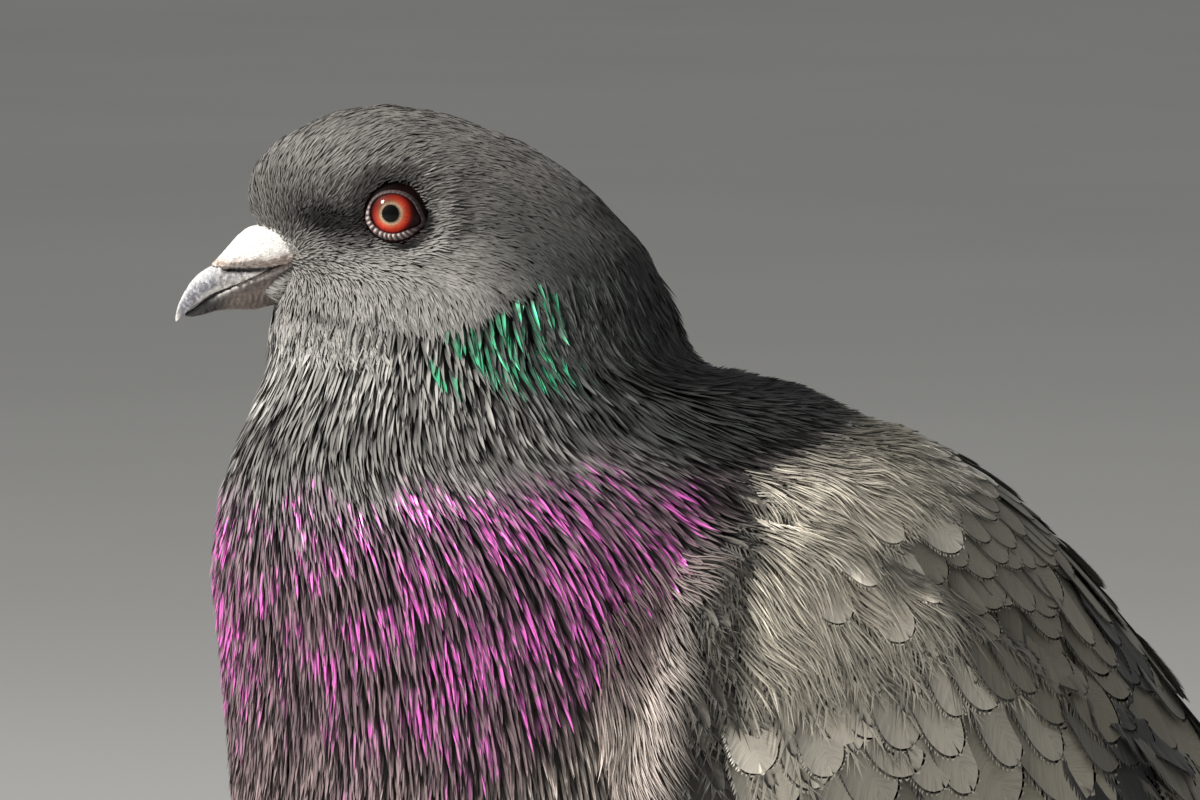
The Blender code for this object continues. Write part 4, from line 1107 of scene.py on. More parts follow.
def glints(point, place, angle, lock, rng):
    """Gloss of the neck: green above, magenta below, in flecks on grey tufts, and the faint
    sheen between the magenta flecks."""
    side = np.abs(angle)
    broad = patches(point, 9.0, 21)
    fleck = 0.55 * broad + 0.4 * patches(point, 3.5, 22)
    fleck = fleck + 1.5 * (lock - 0.5) + rng.normal(0, 0.3, len(place))
    spark = rng.random(len(place))
    first = np.interp(place, [7.6, 8.6, 10.4], [100.0, 92.0, 76.0])
    green = window(place, 7.0, 7.8, 10.2, 11.8) * window(side, first - 9.0, first + 6.0, 106, 124)
    wander = place + 0.30 * patches(point, 13.0, 23)
    last = edge(MAGENTA_EDGE, place)
    sheen = window(wander, 13.1, 14.0, 15.8, 17.5) * ramp(side, last + 4.0, last - 4.0)
    rim = spot(side, last - 3.0, 3.0) * window(place, 14.2, 14.8, 15.8, 16.2)
    sheen = sheen * (0.40 + 0.60 * spot(side, 50.0, 30.0)) * (1 + 0.6 * rim)
    fine = 0.5 * broad + 0.5 * patches(point, 2.2, 24) + 0.6 * (lock - 0.5)
    fine = fine + rng.normal(0, 0.45, len(place))
    green = ramp(green * (1.05 + 0.8 * fine), 0.40, 0.95) * ramp(spark, 0.15, 0.45)
    magenta = ramp(sheen * (0.80 + 0.95 * fleck), 0.30, 0.95) * ramp(spark, 0.05, 0.40)
    return green, magenta, sheen


NECK_ZONES = (                # name, rings, angles, pitch, lock across and along, half width, length
    ("coat_neck", (7.2, 13.7), (-180.0, 180.0), 0.88, 1.7, 8.0, 0.26, 5.8),
    ("coat_breast_left", (13.2, 18.6), (0.0, 180.0), 0.76, 1.15, 6.0, 0.24, 5.4),
    ("coat_breast_right", (13.2, 18.6), (-180.0, 0.0), 0.76, 1.15, 6.0, 0.24, 5.4),
)


def make_neck_coat():
    rng = np.random.default_rng(31)
    material = plumage("neck_barbs", 4.0, 0.05, by="length", contrast=0.4)
    for seed, (name, places, angles, pitch, wide, tall, slim, long) in enumerate(NECK_ZONES, 41):
        on_neck = places[0] < 10

        def keep(point, place, angle):
            side = np.abs(angle)
            start = 9.2 - 1.7 * ramp(side, 45.0, 100.0) if on_neck else places[0]
            under = at_cheek_edge(point, 0.0)
            above = at_cheek_edge(point, -9.0) & ~under
            share = np.where(under, 1.0, ramp(place, start - 0.3, start + 0.6) * ~above)
            mantle = ramp(place, 14.0, 14.6) * ramp(side, 96.0, 106.0)
            return (wing_depth(place, angle) < 0.5) * share * (1 - mantle)

        place, angle = scatter(places, angles, pitch, seed, keep, limit=30000)
        count, f = len(place), shares(6)
        away, lock = locks(place, angle, wide, tall, seed if on_neck else 7)
        length = long * rng.uniform(0.75, 1.2, count)
        stand = rng.uniform(-0.15, 0.25, count) + 0.5 * (lock - 0.5) - 0.35 * (2 * away / wide) ** 2
        lift = -0.5 + 1.0 * f + stand[:, None] * f
        spine, across, normal = lay(place, angle, length, lift)
        gather = -0.92 * away + rng.normal(0, 0.10, count) + 0.5 * (lock * 7.0 % 1.0 - 0.5)
        aside = unit(DRESSED.at(place, angle)[3])
        spine = spine + aside[:, None, :] * (gather[:, None] * f ** 1.2)[..., None]
        across = rolled(across, normal, rng.normal(0, 0.35, count))
        point = spine[:, 0]
        tint, gloss = markings(point, place, angle)
        # painted shade in the hollows between locks: tufts away from their lock's middle are darker
        hollow = ramp(np.abs(away), 0.22 * wide, 0.50 * wide)
        light = rng.uniform(0.60, 1.35, count) * (0.70 + 0.60 * lock) * (1 - 0.90 * hollow)
        green, magenta, sheen = glints(point, place, angle, lock, rng)
        tint = painted(tint * light[:, None], (MAUVE_SHEEN, 0.45 * sheen * (1 - hollow)),
                       (GREEN_SHEEN, 0.6 * ramp(green, 0.0, 0.4)))
        green = green * rng.uniform(0.35, 1.0, count)
        tips = painted(tint, (GREEN_GLOSS, green), (MAGENTA_GLOSS, magenta))
        shine = np.clip(0.15 * gloss + green + magenta, 0, 1)
        widths = slim * rng.uniform(0.75, 1.3, count)
        flecks = ramp(rng.random((count, 6)), 0.22, 0.50) * np.array([0, 0, 0.5, 1, 1, 1])
        tuft_piece(name, (place, angle), (spine, across), widths,
                   (0.7, 1.0, 1.0, 0.85, 0.55, 0.0), tint, material, seed + 10,
                   root_shade=0.10, fold=0.3, gloss=shine, tip_tint=tips, spots=flecks)


def make_body_coat():
    """Soft contour feathers of the belly, the flanks, the back and the rump."""
    material = plumage("body_barbs", 45.0, 0.06, contrast=0.3)
    for name, angles, seed in (("coat_belly", (-100.0, 100.0), 51), ("coat_back", (80.0, 280.0), 52)):
        def keep(point, place, angle):
            side = np.abs(wrapped(angle))
            bare = (wing_depth(place, wrapped(angle)) < 0.6) | (place > 22.2)
            start, mine = (17.9, side <= 96) if name == "coat_belly" else (13.8, side > 94)
            return (bare & mine) * ramp(place, start, start + 0.6)

        place, angle = scatter((13.6, float(LAST_RING)), angles, 2.9, seed, keep)
        rng = np.random.default_rng(seed)
        count, f = len(place), shares(6)
        behind = ramp(place, 17.0, 22.0)
        length = (7.5 + 3.0 * behind) * rng.uniform(0.8, 1.2, count)
        lift = -0.6 + 1.0 * f ** 0.8 + rng.uniform(-0.15, 0.3, count)[:, None] * f
        spine, across, normal = lay(place, angle, length, lift)
        across = rolled(across, normal, rng.normal(0, 0.1, count))
        tint = markings(spine[:, 0], place, wrapped(angle))[0]
        tint = tint * rng.uniform(0.85, 1.15, count)[:, None]
        widths = (1.9 + 1.0 * behind) * rng.uniform(0.8, 1.2, count)
        vane_piece(name, (place, angle), (spine, across, normal), widths, DOWNY, 0.10, tint,
                   material, seed)


# ------------------------------------------------------------------ wings

# Where the front bar of the folded wing begins: angle, ring
BAR = [(62, 20.5), (75, 20.3), (90, 20.0), (104, 19.6), (112, 19.3), (124, 18.9), (130, 18.6),
       (136, 18.2)]
# Bands of small feathers: first and last ring, pitch in mm
LESSER_BANDS = ((14.35, 15.8, 2.2), (15.5, 16.7, 2.8), (16.4, 17.3, 3.6))
FRINGE_BAND = ((14.6, 15.7, 2.4),)
COVERT_BANDS = ((16.7, 17.7, 5.0), (17.4, 18.6, 6.4), (18.3, 19.8, 7.6))
SCAPULAR_BANDS = ((14.1, 15.4, 2.2), (15.1, 16.6, 3.8), (16.3, 18.2, 5.8), (17.9, 21.0, 7.6))
# Broad smooth coverts in front: ring, angle, size
SHOULDER_COVERTS = np.array([
    (15.3, 97.0, 5.0), (15.15, 106.0, 4.2), (15.75, 104.0, 4.6), (15.7, 89.0, 3.9),
    (16.1, 95.0, 4.4), (15.45, 114.0, 4.4), (16.9, 72.0, 4.3), (17.1, 80.0, 4.6)])
COVERT_ROLL = 0.08
# Rows of greater coverts and secondaries: ring, length, width
SECONDARY_ROWS = ((19.3, 26.0, 14.0), (19.8, 27.0, 14.0), (20.4, 30.0, 14.0), (21.0, 31.0, 14.0),
                  (21.6, 31.0, 14.0))
BARRED_ROWS = (3, 4)


def barred(place, angle):
    """Feathers whose outer halves make the front bar."""
    side = np.abs(angle)
    start = edge(BAR, side)
    return (place > start - 1.15) & (place < start - 0.42) & (side < 144.0)


def wing_share(place, angle):
    """1 on the folded wing's coverts, and on the shoulder in front of them."""
    side = np.abs(angle)
    shoulder = 140.0 - 22.0 * ramp(place, 14.6, 15.6)
    high = np.where(place < 15.6, shoulder, edge(WING_HIGH, place))
    inside = (side > edge(GROOVE, place) - 0.5) & (side < high + 3.0)
    return inside * ramp(place, 14.3, 14.7)


def scapular_share(place, angle):
    side = np.abs(angle)
    above = (side > edge(WING_HIGH, place) - 1.0) & ((side > 112.0) | (place > 15.6))
    return (above & (side < edge(SCAPULAR_HIGH, place) + 4.0)) * 1.0


def fringe_share(place, angle):
    return window(np.abs(angle), 112.0, 118.0, 134.0, 140.0) * ramp(place, 14.6, 14.8)


def banded(bands, angles, share, seed):
    """Even random roots whose pitch grows from band to band: ring, angle and pitch of each."""
    found = []
    for k, (start, end, pitch) in enumerate(bands):
        def keep(point, place, angle):
            first = ramp(place, start, start + 0.25) if k else 1.0
            return share(place, angle) * first * ramp(place, end, end - 0.25)

        place, angle = scatter((start, end), angles, pitch, seed + k, keep, limit=9000)
        found.append(np.stack([place, angle, np.full(len(place), pitch)]))
    return np.concatenate(found, axis=1)


def pale_edge(colours, table, place, angle):
    """Black in the bar, and paler towards the tip and the sides of each vane."""
    t, x = table[None, :, 0], np.abs(table[None, :, 1])
    colours = blend(colours, BAR_BLACK, barred(place, angle)[:, None] * ramp(t, 0.26, 0.36))
    return colours * (0.86 + 0.16 * ramp(t, 0.5, 0.95) + 0.10 * ramp(x, 0.5, 1.0))[..., None]


def covert_piece(name, sign, roots, template, reach, lift_by, tint, material, seed):
    """Rows of coverts. reach is their length and half width, as shares of their pitch."""
    place, angle, pitch = roots
    rng = np.random.default_rng(seed)
    count, f = len(place), shares(7)
    length = reach[0] * pitch * rng.uniform(0.8, 1.2, count)
    lift = -0.9 + (0.75 + lift_by) * f ** 0.8 + rng.uniform(-0.10, 0.14, count)[:, None] * f
    spine, across, normal = lay(place, angle, length, lift)
    veer = rng.normal(0, 0.06, count) * length
    spine = spine + across * veer[:, None, None] * (f ** 1.4)[..., None]
    across = rolled(across, normal, sign * COVERT_ROLL + rng.normal(0, 0.05, count))
    width = reach[1] * pitch * rng.uniform(0.85, 1.15, count)
    vane_piece(name, (place, angle), (spine, across, normal), width, template, 0.07,
               tint(spine[:, 0], place, angle, rng), material, seed, pale_edge,
               root_shade=0.45)


def wing_tint(points, place, angle, rng):
    """Pale ash, with painted light towards the front of the wing, and painted shade: darker olive behind
    and up against the scapulars, and dark in the seams at the groove and under the scapulars.
    """
    side, high, groove = np.abs(angle), edge(WING_HIGH, place), edge(GROOVE, place)
    light = rng.uniform(0.86, 1.12, len(place)) * (1 + 0.08 * patches(points, 11.0, 64))
    # painted light: paler towards the front of the wing
    light = light * (1 + 0.70 * ramp(place, 17.4, 16.2))
    return painted(
        np.array(WING_ASH) * light[:, None],
        # painted shade: darker olive behind and up against the scapulars, and dark in the seams and the
        # groove
        (MANTLE_ASH_IN_SHADE * 1.15, 0.90 * ramp(place, 16.8, 18.4)),
        (MANTLE_ASH_IN_SHADE * 1.1, 0.8 * ramp(side, 114.0, 126.0) * ramp(place, 16.6, 15.8)),
        (SHADOW, 0.65 * ramp(side, 100.0, 112.0) * ramp(place, 15.2, 14.5)),
        (SHADOW, 0.6 * ramp(side, high - 3.0, high) * ramp(place, 15.4, 16.0)),
        (SHADOW, 0.88 * ramp(side, groove + 8.0, groove + 5.0) * ramp(place, 14.2, 14.8)),
    )


def pale_tint(points, place, angle, rng):
    # painted light: the fringe and the shoulder coverts paler, as if in full light
    return np.array(WING_PALE_LIT) * rng.uniform(0.85, 1.12, len(place))[:, None]


def mantle_tint(points, place, angle, rng):
    # scapulars in the mantle's ash, darkened and made olive by painted shade and painted reflected light
    light = rng.uniform(0.86, 1.14, len(place)) * (1 + 0.10 * patches(points, 13.0, 65))
    pale = ramp(np.abs(angle), 152.0, 126.0) * ramp(place, 17.5, 15.5)
    return blend(MANTLE_ASH_IN_SHADE * light[:, None], np.array(WING_ASH) * 0.95, 0.35 * pale)


def make_fluff(side, angles, material):
    """Fine loose barbs over the shoulder and the front of the wing."""
    rng = np.random.default_rng(75)

    def keep(point, place, angle):
        side, groove = np.abs(angle), edge(GROOVE, place)
        breast = (side > groove - 13.0) * (side < groove) * ramp(place, 15.0, 15.6)
        out = ramp(side, groove + 5.0, groove + 6.5) * ramp(place, 17.2, 15.6)
        return np.maximum(wing_share(place, angle) * out, 0.6 * breast)

    place, angle = scatter((14.3, 17.6), angles, 0.62, 76, keep, limit=20000)
    count, f = len(place), shares(5)
    length = (3.6 + 1.6 * ramp(place, 14.5, 16.5)) * rng.uniform(0.7, 1.3, count)
    lift = 0.25 + (0.45 + 0.45 * rng.random(count))[:, None] * f
    spine, across, normal = lay(place, angle, length, lift)
    point = spine[:, 0]
    veer = (0.34 * patches(point, 10.0, 77) + rng.normal(0, 0.06, count)) * length
    spine = spine + across * veer[:, None, None] * (f ** 1.3)[..., None]
    across = rolled(across, normal, rng.normal(0, 0.4, count))
    tint = wing_tint(spine[:, 0], place, angle, rng) * rng.uniform(0.55, 1.30, count)[:, None]
    before = ramp(np.abs(angle), edge(GROOVE, place) + 1.0, edge(GROOVE, place) - 3.0)
    plain = markings(spine[:, 0], place, angle)[0] * rng.uniform(1.0, 2.0, count)[:, None]
    tuft_piece(f"coat_fluff_{side}", (place, angle), (spine, across),
               rng.uniform(0.08, 0.14, count), (0.8, 1.0, 0.9, 0.6, 0.0),
               blend(tint, plain, before), material, 78, root_shade=0.6)


def make_wings():
    fluffy = plumage("lesser_covert_barbs", 50.0, 0.06, contrast=0.4)
    barbs = plumage("wing_barbs", 70.0, 0.05, contrast=0.25)
    for side, sign in SIDES:
        angles, upper = (tuple(sorted((sign * a, sign * b))) for a, b in ((54.0, 145.0), (106.0, 180.0)))
        shoulder = SHOULDER_COVERTS.T * [[1.0], [sign], [1.0]]
        for name, roots, template, reach, lift_by, tint, material, seed in (
            ("lesser", banded(LESSER_BANDS, angles, wing_share, 61), LOOSE, (3.2, 1.0), 0.55,
             wing_tint, fluffy, 62),
            ("fringe", banded(FRINGE_BAND, angles, fringe_share, 63), LOOSE, (3.4, 0.75), 1.1,
             pale_tint, fluffy, 64),
            ("shoulder", shoulder, SOFT, (2.3, 0.95), 0.95, pale_tint, barbs, 69),
            ("coverts", banded(COVERT_BANDS, angles, wing_share, 65), SOFT, (3.0, 1.0), 0.18,
             wing_tint, barbs, 66),
            ("scapulars", banded(SCAPULAR_BANDS, upper, scapular_share, 71), SOFT, (3.0, 1.0), 0.22,
             mantle_tint, barbs, 72),
        ):
            covert_piece(f"coat_{name}_{side}", sign, roots, template, reach, lift_by, tint,
                         material, seed)
        make_fluff(side, angles, fluffy)


def wing_rows(sign, rows, seed):
    """Roots of overlapping, staggered rows: ring, angle, length, width and row of each."""
    rng = np.random.default_rng(seed)
    roots = []
    for n, (place, length, width) in enumerate(rows):
        first, last = edge(WING_LOW, place), edge(WING_HIGH, place)
        round_it = DRESSED.at(np.array([place]), np.array([sign * (first + last) / 2]))[3]
        step = width * 0.62 / np.linalg.norm(round_it[0])
        for angle in np.arange(first + step * (0.25 + 0.5 * (n % 2)), last, step):
            roots.append((place + rng.uniform(-0.04, 0.04),
                          sign * (angle + rng.uniform(-0.12, 0.12) * step),
                          length * rng.uniform(0.93, 1.07), width * rng.uniform(0.93, 1.07), n))
    return np.array(roots).T


def make_secondaries():
    """The rows behind the coverts: the greater coverts and the secondaries, with the two bars."""
    barbs = plumage("secondary_barbs", 90.0, 0.06, contrast=0.3)
    for side, sign in SIDES:
        place, angle, length, width, row = wing_rows(sign, SECONDARY_ROWS, 91)
        rng = np.random.default_rng(92)
        count, f = len(place), shares(9)
        lift = -1.2 + 2.0 * f ** 0.9 + rng.uniform(-0.1, 0.15, count)[:, None] * f
        spine, across, normal = lay(place, angle, length, lift)
        across = rolled(across, normal, sign * COVERT_ROLL + rng.normal(0, 0.03, count))
        tint = np.array(SECONDARY_ASH) * rng.uniform(0.9, 1.1, count)[:, None]
        bar = np.isin(row, BARRED_ROWS) | barred(place, angle)

        def bars(colours, table, place, angle):
            return blend(colours, BAR_BLACK, bar[:, None] * ramp(table[None, :, 0], 0.50, 0.62))

        rows = vane_piece(f"secondaries_{side}", (place, angle), (spine, across, normal), width / 2,
                          FIRM, 0.12, tint, barbs, 93, bars)
        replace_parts(rows, f"wing_secondaries_{side}")
        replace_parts(bpy.data.objects[f"coat_coverts_{side}"], f"wing_coverts_{side}")
        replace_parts(bpy.data.objects[f"coat_scapulars_{side}"], f"scapulars_{side}")


# ------------------------------------------------------------------ flight feathers and tail


def flight_piece(name, spines, half_width, camber, tint, material, seed, paint=None):
    """Long vanes, each with a cell of the unit square to itself."""
    count = len(tint)
    shapes = vanes(*spines, np.full(count, half_width), FLIGHT, camber)
    colours = np.repeat(tint[:, None, :], len(FLIGHT[0]), axis=1)
    if paint is not None:
        colours = paint(colours, FLIGHT[0])
    side, k = math.ceil(math.sqrt(count)), np.arange(count)
    corner = np.stack([k % side, k // side], axis=-1) / side
    cells = corner[:, None, :] + (0.04 + 0.92 * shapes[2][None]) / side
    return feather_piece(name, shapes, cells, colours, np.zeros(colours.shape[:2]), seed, material)


# Edges of the bundle of primaries behind the wing's end, and its swell from root to tip
PRIMARIES_LOW = ((30.5, 122.0, 64.5), (25.5, 148.0, 62.0), (19.8, 168.0, 59.0), (13.5, 186.0, 50.2))
PRIMARIES_HIGH = ((9.0, 151.0, 91.5), (8.5, 164.0, 79.5), (9.0, 177.0, 66.0), (11.5, 188.0, 52.0))
PRIMARIES_SWELL = (18.0, 9.0, 4.8, 2.6, 0.5)
PRIMARY_COUNT = 8
WING_END, WING_END_DEPTH = 22.66, 3.3


def primary_sheet(sign, place, g):
    """A point of the outer face of the bundle of primaries, its outward direction and its run."""
    edges = []
    for pairs, points in ((WING_LOW, PRIMARIES_LOW), (WING_HIGH, PRIMARIES_HIGH)):
        angle = np.array([sign * edge(pairs, WING_END)])
        root, out, _, _ = BARE.at(np.array([WING_END]), angle)
        edges.append(np.vstack([root + out * WING_END_DEPTH, np.array(points) * (sign, 1.0, 1.0)]))
    a, b = (along(rows, place) for rows in edges)
    run = sum(along(rows, place + 0.05) - along(rows, place - 0.05) for rows in edges)
    out = unit(np.cross(b - a, run)) * sign
    out = out * np.where(out[..., :1] * sign > 0, 1.0, -1.0)
    bulge = np.interp(place, range(5), PRIMARIES_SWELL) * 4 * g * (1 - g)
    return a + (b - a) * g[..., None] + out * bulge[..., None], out, unit(run)


def make_primaries():
    dark = plumage("flight_barbs", 150.0, 0.05, roughness=0.5, contrast=0.3)
    k = np.arange(PRIMARY_COUNT)[:, None]
    reach = 4.0 - 2.1 * (k / (PRIMARY_COUNT - 1)) ** 0.8
    place = -0.25 + (reach + 0.25) * shares(12)
    lane = 0.10 + 0.78 * k / (PRIMARY_COUNT - 1) * np.ones_like(place)
    tint = np.array(FLIGHT_BROWN) * np.linspace(0.8, 1.25, PRIMARY_COUNT)[:, None]
    for side, sign in SIDES:
        point, out, run = primary_sheet(sign, np.maximum(place, 0.0), lane)
        point = point + run * np.minimum(place, 0.0)[..., None] * 12.0
        spine = point + out * (0.1 + 0.28 * k[..., None])
        across = unit(np.cross(np.gradient(spine, axis=1), out))
        piece = flight_piece(f"primaries_{side}", (spine, across, out), 5.6, 0.06, tint, dark,
                             81)
        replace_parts(piece, f"wing_primaries_{side}")


TAIL_START, TAIL_TIP, TAIL_SLOPE = 140.0, (207.0, 32.0), 38.0
TAIL_HALF_WIDTH, TAIL_ARCH, TAIL_ROUNDING, TAIL_FEATHERS = (11.0, 26.0), 5.0, 6.0, 12


def tail_point(f, g):
    drop = math.tan(math.radians(TAIL_SLOPE))
    half_width = TAIL_HALF_WIDTH[0] + (TAIL_HALF_WIDTH[1] - TAIL_HALF_WIDTH[0]) * np.maximum(f, 0) ** 1.5
    y = TAIL_START + (TAIL_TIP[0] - TAIL_START) * f - TAIL_ROUNDING * np.abs(g) ** 3 * f
    z = TAIL_TIP[1] + (TAIL_TIP[0] - y) * drop - TAIL_ARCH * g * g
    return np.stack([half_width * g, y, z], axis=-1)


def tail_band(colours, table):
    return blend(colours, BAR_BLACK, 0.9 * window(table[None, :, 0], 0.76, 0.80, 0.97, 0.995))


def make_tail():
    material = plumage("tail_barbs", 150.0, 0.05, roughness=0.55, contrast=0.3)
    middle = (TAIL_FEATHERS - 1) / 2
    off = np.arange(TAIL_FEATHERS) - middle
    off = off[np.argsort(-np.abs(off), kind="stable")][:, None]
    lane = off / middle * 0.80
    point = tail_point(np.linspace(-0.25, 1.0, 12)[None, :] + 0 * lane, lane)
    cos, sin = circle(TAIL_SLOPE)
    normal = unit(np.array([0.0, sin, cos]) + np.array([0.35, 0, 0]) * lane[..., None])
    normal = np.repeat(normal, point.shape[1], axis=1)
    spine = point + normal * (0.35 * (middle - np.abs(off)) - 1.9)[..., None]
    across = unit(np.cross(np.gradient(spine, axis=1), normal))
    across = rolled(across, normal, -0.05 * np.sign(lane[:, 0]))
    tint = np.broadcast_to(np.array(TAIL_GREY), (TAIL_FEATHERS, 3))
    tail = flight_piece("tail_vanes", (spine, across, normal), 6.2, 0.04, tint, material,
                        101, tail_band)
    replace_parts(tail, "tail")


# ------------------------------------------------------------------ legs

LEG_RED, CLAW_HORN = (0.40, 0.095, 0.085), (0.030, 0.026, 0.026)
FOOT = (18.0, 50.0)
SHANK = np.array([            # x, y, z, half width, half length
    (20.3, 61.0, 44.0, 3.0, 3.5), (20.0, 61.0, 38.6, 3.1, 3.6), (19.8, 60.2, 35.0, 2.9, 3.5),
    (19.3, 57.2, 27.0, 2.1, 2.5), (18.8, 54.2, 18.0, 2.0, 2.4), (18.2, 51.4, 9.5, 2.4, 2.7),
    (18.0, 50.0, 5.0, 3.6, 3.6), (18.0, 50.0, 2.6, 4.8, 4.8), (18.0, 50.0, 0.0, 4.1, 4.1),
    (18.0, 50.0, 0.0, 0.05, 0.05),
])
# Name, length, heading outwards from ahead, and number of pads
TOES = (("middle", 27.0, 4.0, 3), ("inner", 20.5, -33.0, 3), ("outer", 22.5, 42.0, 3),
        ("hind", 16.5, 176.0, 2))
TOE_START, TOE_RADIUS, TOE_TAPER, TOE_PAD, TOE_SINK = 2.4, 2.3, 0.28, 0.16, 0.86
CLAW_LENGTH, CLAW_RADIUS, CLAW_HEIGHT, CLAW_BEND, CLAW_DROP = 6.5, 1.15, 1.8, 62.0, 0.42
CLAW_ROOT = 0.9               # how far back inside the toe a claw begins
PLATE, BEAD = 1.7, 0.85       # length of the leg's plates and of its beads


def scutes(run, turn, front):
    """Height of the leg's scales: overlapping plates in front and above, small beads elsewhere."""
    plate = (run / PLATE) % 1.0
    plates = 0.16 * np.sqrt(np.clip(1 - (2 * plate - 1) ** 6, 0, 1)) * (0.75 + 0.25 * plate)
    around = (turn / 22.0 + 0.5 * (np.floor(run / BEAD) % 2)) % 1.0
    bead = np.sin(np.pi * ((run / BEAD) % 1.0)) * np.sin(np.pi * around)
    beads = 0.12 * np.sqrt(np.clip(bead, 0, 1))
    return beads + (plates - beads) * front


def scaled(points, relief):
    """A shell of leg skin on the floor, reddest on its scales."""
    points[..., 2] = np.maximum(points[..., 2], 0.0)
    return points, painted(
        np.array(LEG_RED) * (1 + 0.15 * patches(points, 3.0, 85))[..., None],
        ((0.20, 0.055, 0.060), 0.7 * ramp(relief, 0.07, 0.01)),
        ((0.36, 0.20, 0.18), 0.5 * ramp(points[..., 2], 2.2, 0.4)))


def shank_shell(sign):
    place, cos, sin, (x, y, z, wide, long) = swept(SHANK, 170, 64)
    relief = scutes(46.0 - z, turns(64), ramp(-sin, 0.35, 0.7)) * ramp(place, 8.0, 7.3)
    points = np.stack([sign * x + (wide + relief) * cos, y + (long + relief) * sin, z], axis=-1)
    return (*scaled(points, relief), True)


def toe_shell(root, ahead, across, length, pads):
    f, turn = shares(110).T, turns(44)
    cos, sin = circle(turn)
    reach = TOE_START + (length + 0.2 - TOE_START) * f
    radius = TOE_RADIUS * (1 - TOE_TAPER * f) - TOE_PAD * np.cos(2 * np.pi * pads * f)
    radius = radius * np.sqrt(np.clip(1 - ramp(f, 0.94, 1.0) * 0.85, 0, 1))
    narrow = np.minimum(1.0, 0.55 + 0.45 * np.clip(reach - 4.9, 0, None) / 3.5)
    relief = scutes(reach, turn, ramp(sin, 0.1, 0.5))
    out = across * (cos * narrow)[..., None] + UP * sin[..., None]
    points = (root + ahead * reach[..., None] + UP * (radius * TOE_SINK)[..., None]
              + out * (radius + relief)[..., None])
    return (*scaled(points, relief), False)


def claw_shell(root, ahead, across, length):
    f = shares(30).T
    cos, sin = circle(turns(24))
    bend = math.radians(CLAW_BEND) * f
    arm = CLAW_LENGTH / math.radians(CLAW_BEND)
    run = length - CLAW_ROOT + arm * np.sin(bend) + CLAW_ROOT * (1 - f)
    rise = CLAW_HEIGHT - arm * (1 - np.cos(bend)) * CLAW_DROP
    centre = root + ahead * run[..., None] + UP * rise[..., None]
    tilt = UP * np.cos(bend)[..., None] + ahead * np.sin(bend)[..., None]
    thick = CLAW_RADIUS * np.clip(1 - f, 0.001, 1) ** 0.75
    points = centre + across * (thick * 0.8 * cos)[..., None] + tilt * (thick * sin)[..., None]
    points[..., 2] = np.maximum(points[..., 2], 0.0)
    return points, np.array(CLAW_HORN) * (1 + 2.2 * ramp(f, 0.45, 1.0))[..., None], False


def make_legs():
    skin = horn_material("leg_scales", 0.45, 1500.0, 0.05)
    horn = horn_material("claw_horn", 0.35, 1600.0, 0.04)
    for side, sign in SIDES:
        legs, claws = [shank_shell(sign)], []
        root = np.array([sign * FOOT[0], FOOT[1], 0.0])
        for _, length, heading, pads in TOES:
            cos, sin = circle(heading)
            ahead, across = np.array([sign * sin, -cos, 0.0]), np.array([cos, sign * sin, 0.0])
            legs.append(toe_shell(root, ahead, across, length, pads))
            claws.append(claw_shell(root, ahead, across, length))
        foot = shell_piece(f"leg_scales_{side}", legs, skin)
        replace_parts(foot, f"shank_{side}", *(f"toe_{toe[0]}_{side}" for toe in TOES))
        nails = shell_piece(f"claws_{side}", claws, horn)
        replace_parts(nails, *(f"claw_{toe[0]}_{side}" for toe in TOES))


THIGH_RING = 12.0             # mm from one of the thigh's rings to the next
THIGH_PITCH = 2.1


def make_thigh_coat():
    """Short loose feathers over each thigh, down to the ankle."""
    material = plumage("thigh_barbs", 45.0, 0.06, contrast=0.3)
    for side, sign in SIDES:
        rng = np.random.default_rng(88)
        roots = []
        for place in np.arange(0.9, 4.0, 0.16):
            wide, long = along(THIGH, place)[3:]
            count = int(math.pi * (wide + long) / THIGH_PITCH)
            turn = (np.arange(count) + rng.random()) * 360.0 / count
            roots.append(np.stack([place + rng.uniform(-0.06, 0.06, count),
                                   turn + rng.uniform(-0.3, 0.3, count) * 360.0 / count]))
        place, angle = np.concatenate(roots, axis=1)
        count, f = len(place), shares(6)
        length = (5.5 + 1.5 * ramp(place, 3.4, 1.5)) * rng.uniform(0.8, 1.2, count)
        down = place[:, None] + length[:, None] * f / THIGH_RING
        lift = -0.7 + 1.15 * f ** 0.8 + rng.uniform(-0.15, 0.3, count)[:, None] * f
        turn = angle[:, None] + rng.normal(0, 3.0, count)[:, None] * f
        spine, beside = (thigh_point(down, turn + a, sign, lift) for a in (0.0, 2.0))
        spine[..., 2] -= np.maximum(down - 4.0, 0.0) * THIGH_RING
        beside[..., 2] = spine[..., 2]
        run = np.gradient(spine, axis=1)
        normal = unit(np.cross(unit(beside - spine), run))
        outward = spine - thigh_point(down, turn, sign, -2.0)
        normal = normal * np.sign(np.sum(normal * outward, axis=-1, keepdims=True))
        across = rolled(unit(np.cross(run, normal)), normal, rng.normal(0, 0.12, count))
        tint = np.array(BELLY_ASH) * rng.uniform(0.85, 1.15, count)[:, None]
        vane_piece(f"coat_thigh_{side}", (place, angle), (spine, across, normal),
                   1.7 * rng.uniform(0.8, 1.2, count), DOWNY, 0.15, tint, material,
                   89)


# ------------------------------------------------------------------ studio

FLOOR_EXTENT = 40.0
CAMERA_AZIMUTH, CAMERA_ELEVATION = 52.0, 5.0
FRAME_WIDTH = 164.4           # of the bird, across the picture, mm
AIM_RIGHT, AIM_HEIGHT = 16.6, 177.5     # of the neck's axis, and above the floor
CAMERA_DISTANCE = 1500.0
SENSOR = 36.0


def in_scene(name, data):
    thing = bpy.data.objects.new(name, data)
    bpy.context.scene.collection.objects.link(thing)
    return thing


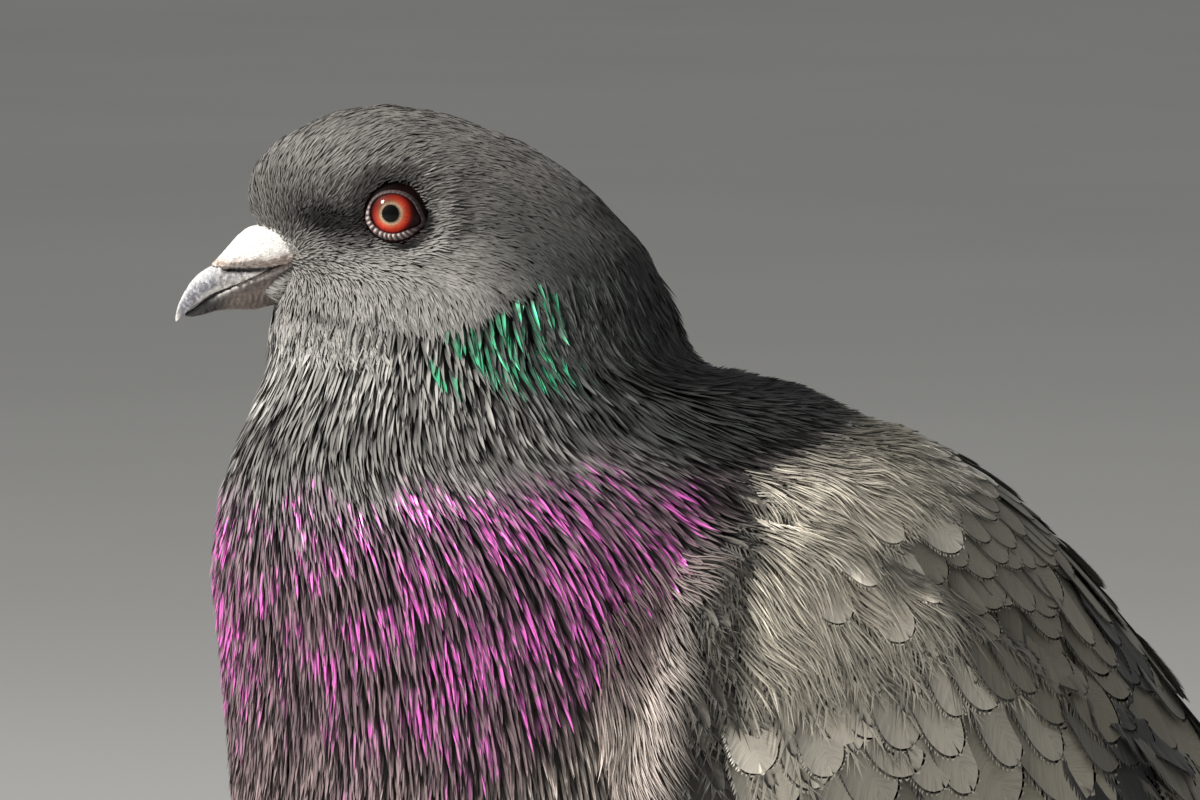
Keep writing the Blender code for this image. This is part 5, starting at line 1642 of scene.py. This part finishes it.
def make_studio():
    mesh = bpy.data.meshes.new("floor")
    corners = [(x * FLOOR_EXTENT, y * FLOOR_EXTENT, 0) for x, y in ((-1, -1), (1, -1), (1, 1), (-1, 1))]
    mesh.from_pydata(corners, [], [(0, 1, 2, 3)])
    look = Look("studio_floor")
    cloud = look.noise(look.add("TexCoord", {}, "Object"), 3.0)
    colour = look.ramped(cloud, [(0.3, (0.60, 0.60, 0.59)), (0.7, (0.64, 0.64, 0.63))])
    mesh.materials.append(look.finish(colour, {"Roughness": 0.9}))
    in_scene("floor", mesh)
    world = bpy.data.worlds.new("studio")
    bpy.context.scene.world = world
    world.use_nodes = True
    background = world.node_tree.nodes["Background"]
    background.inputs["Color"].default_value = (0.80, 0.80, 0.78, 1.0)
    background.inputs["Strength"].default_value = 0.32


def place_camera():
    (cos, sin), (level, rise) = circle(CAMERA_AZIMUTH), circle(CAMERA_ELEVATION)
    right = np.array([cos, sin, 0.0])
    back = np.array([sin * level, -cos * level, rise])
    up = np.cross(back, right)
    aim = right * AIM_RIGHT + UP * AIM_HEIGHT
    data = bpy.data.cameras.new("camera")
    data.sensor_width, data.lens = SENSOR, SENSOR * CAMERA_DISTANCE / FRAME_WIDTH
    data.clip_start, data.clip_end = 0.05, 20.0
    camera = in_scene("camera", data)
    place = onto_frame(aim + back * CAMERA_DISTANCE)
    rows = [[right[i], up[i], back[i], place[i]] for i in range(3)]
    camera.matrix_world = Matrix(rows + [[0, 0, 0, 1]])
    bpy.context.scene.camera = camera
    return right, up, back, aim


def lamp(name, direction, aim, distance, size, power, colour):
    data = bpy.data.lights.new(name, "AREA")
    data.shape, data.size, data.energy, data.color = "DISK", size, power, colour
    light = in_scene(name, data)
    light.location = onto_frame(aim) + unit(direction) * distance
    light.rotation_euler = Vector(-unit(direction)).to_track_quat("-Z", "Y").to_euler()


def main():
    for make in (make_skin, make_eyes, make_bill, make_head_coat, make_gape_coat, make_neck_coat,
                 make_body_coat, make_wings, make_secondaries, make_primaries, make_tail,
                 make_thigh_coat, make_legs, make_studio):
        make()
    right, up, back, aim = place_camera()
    lamp("key", -0.80 * right + 0.36 * back + 0.64 * up, aim, 1.1, 0.25, 27.0, (1.0, 0.97, 0.92))
    lamp("fill", 0.5 * right + 0.8 * back + 0.2 * up, aim, 1.4, 0.9, 1.6, (0.93, 0.96, 1.0))
    bpy.context.scene.view_settings.view_transform = "Standard"


main()
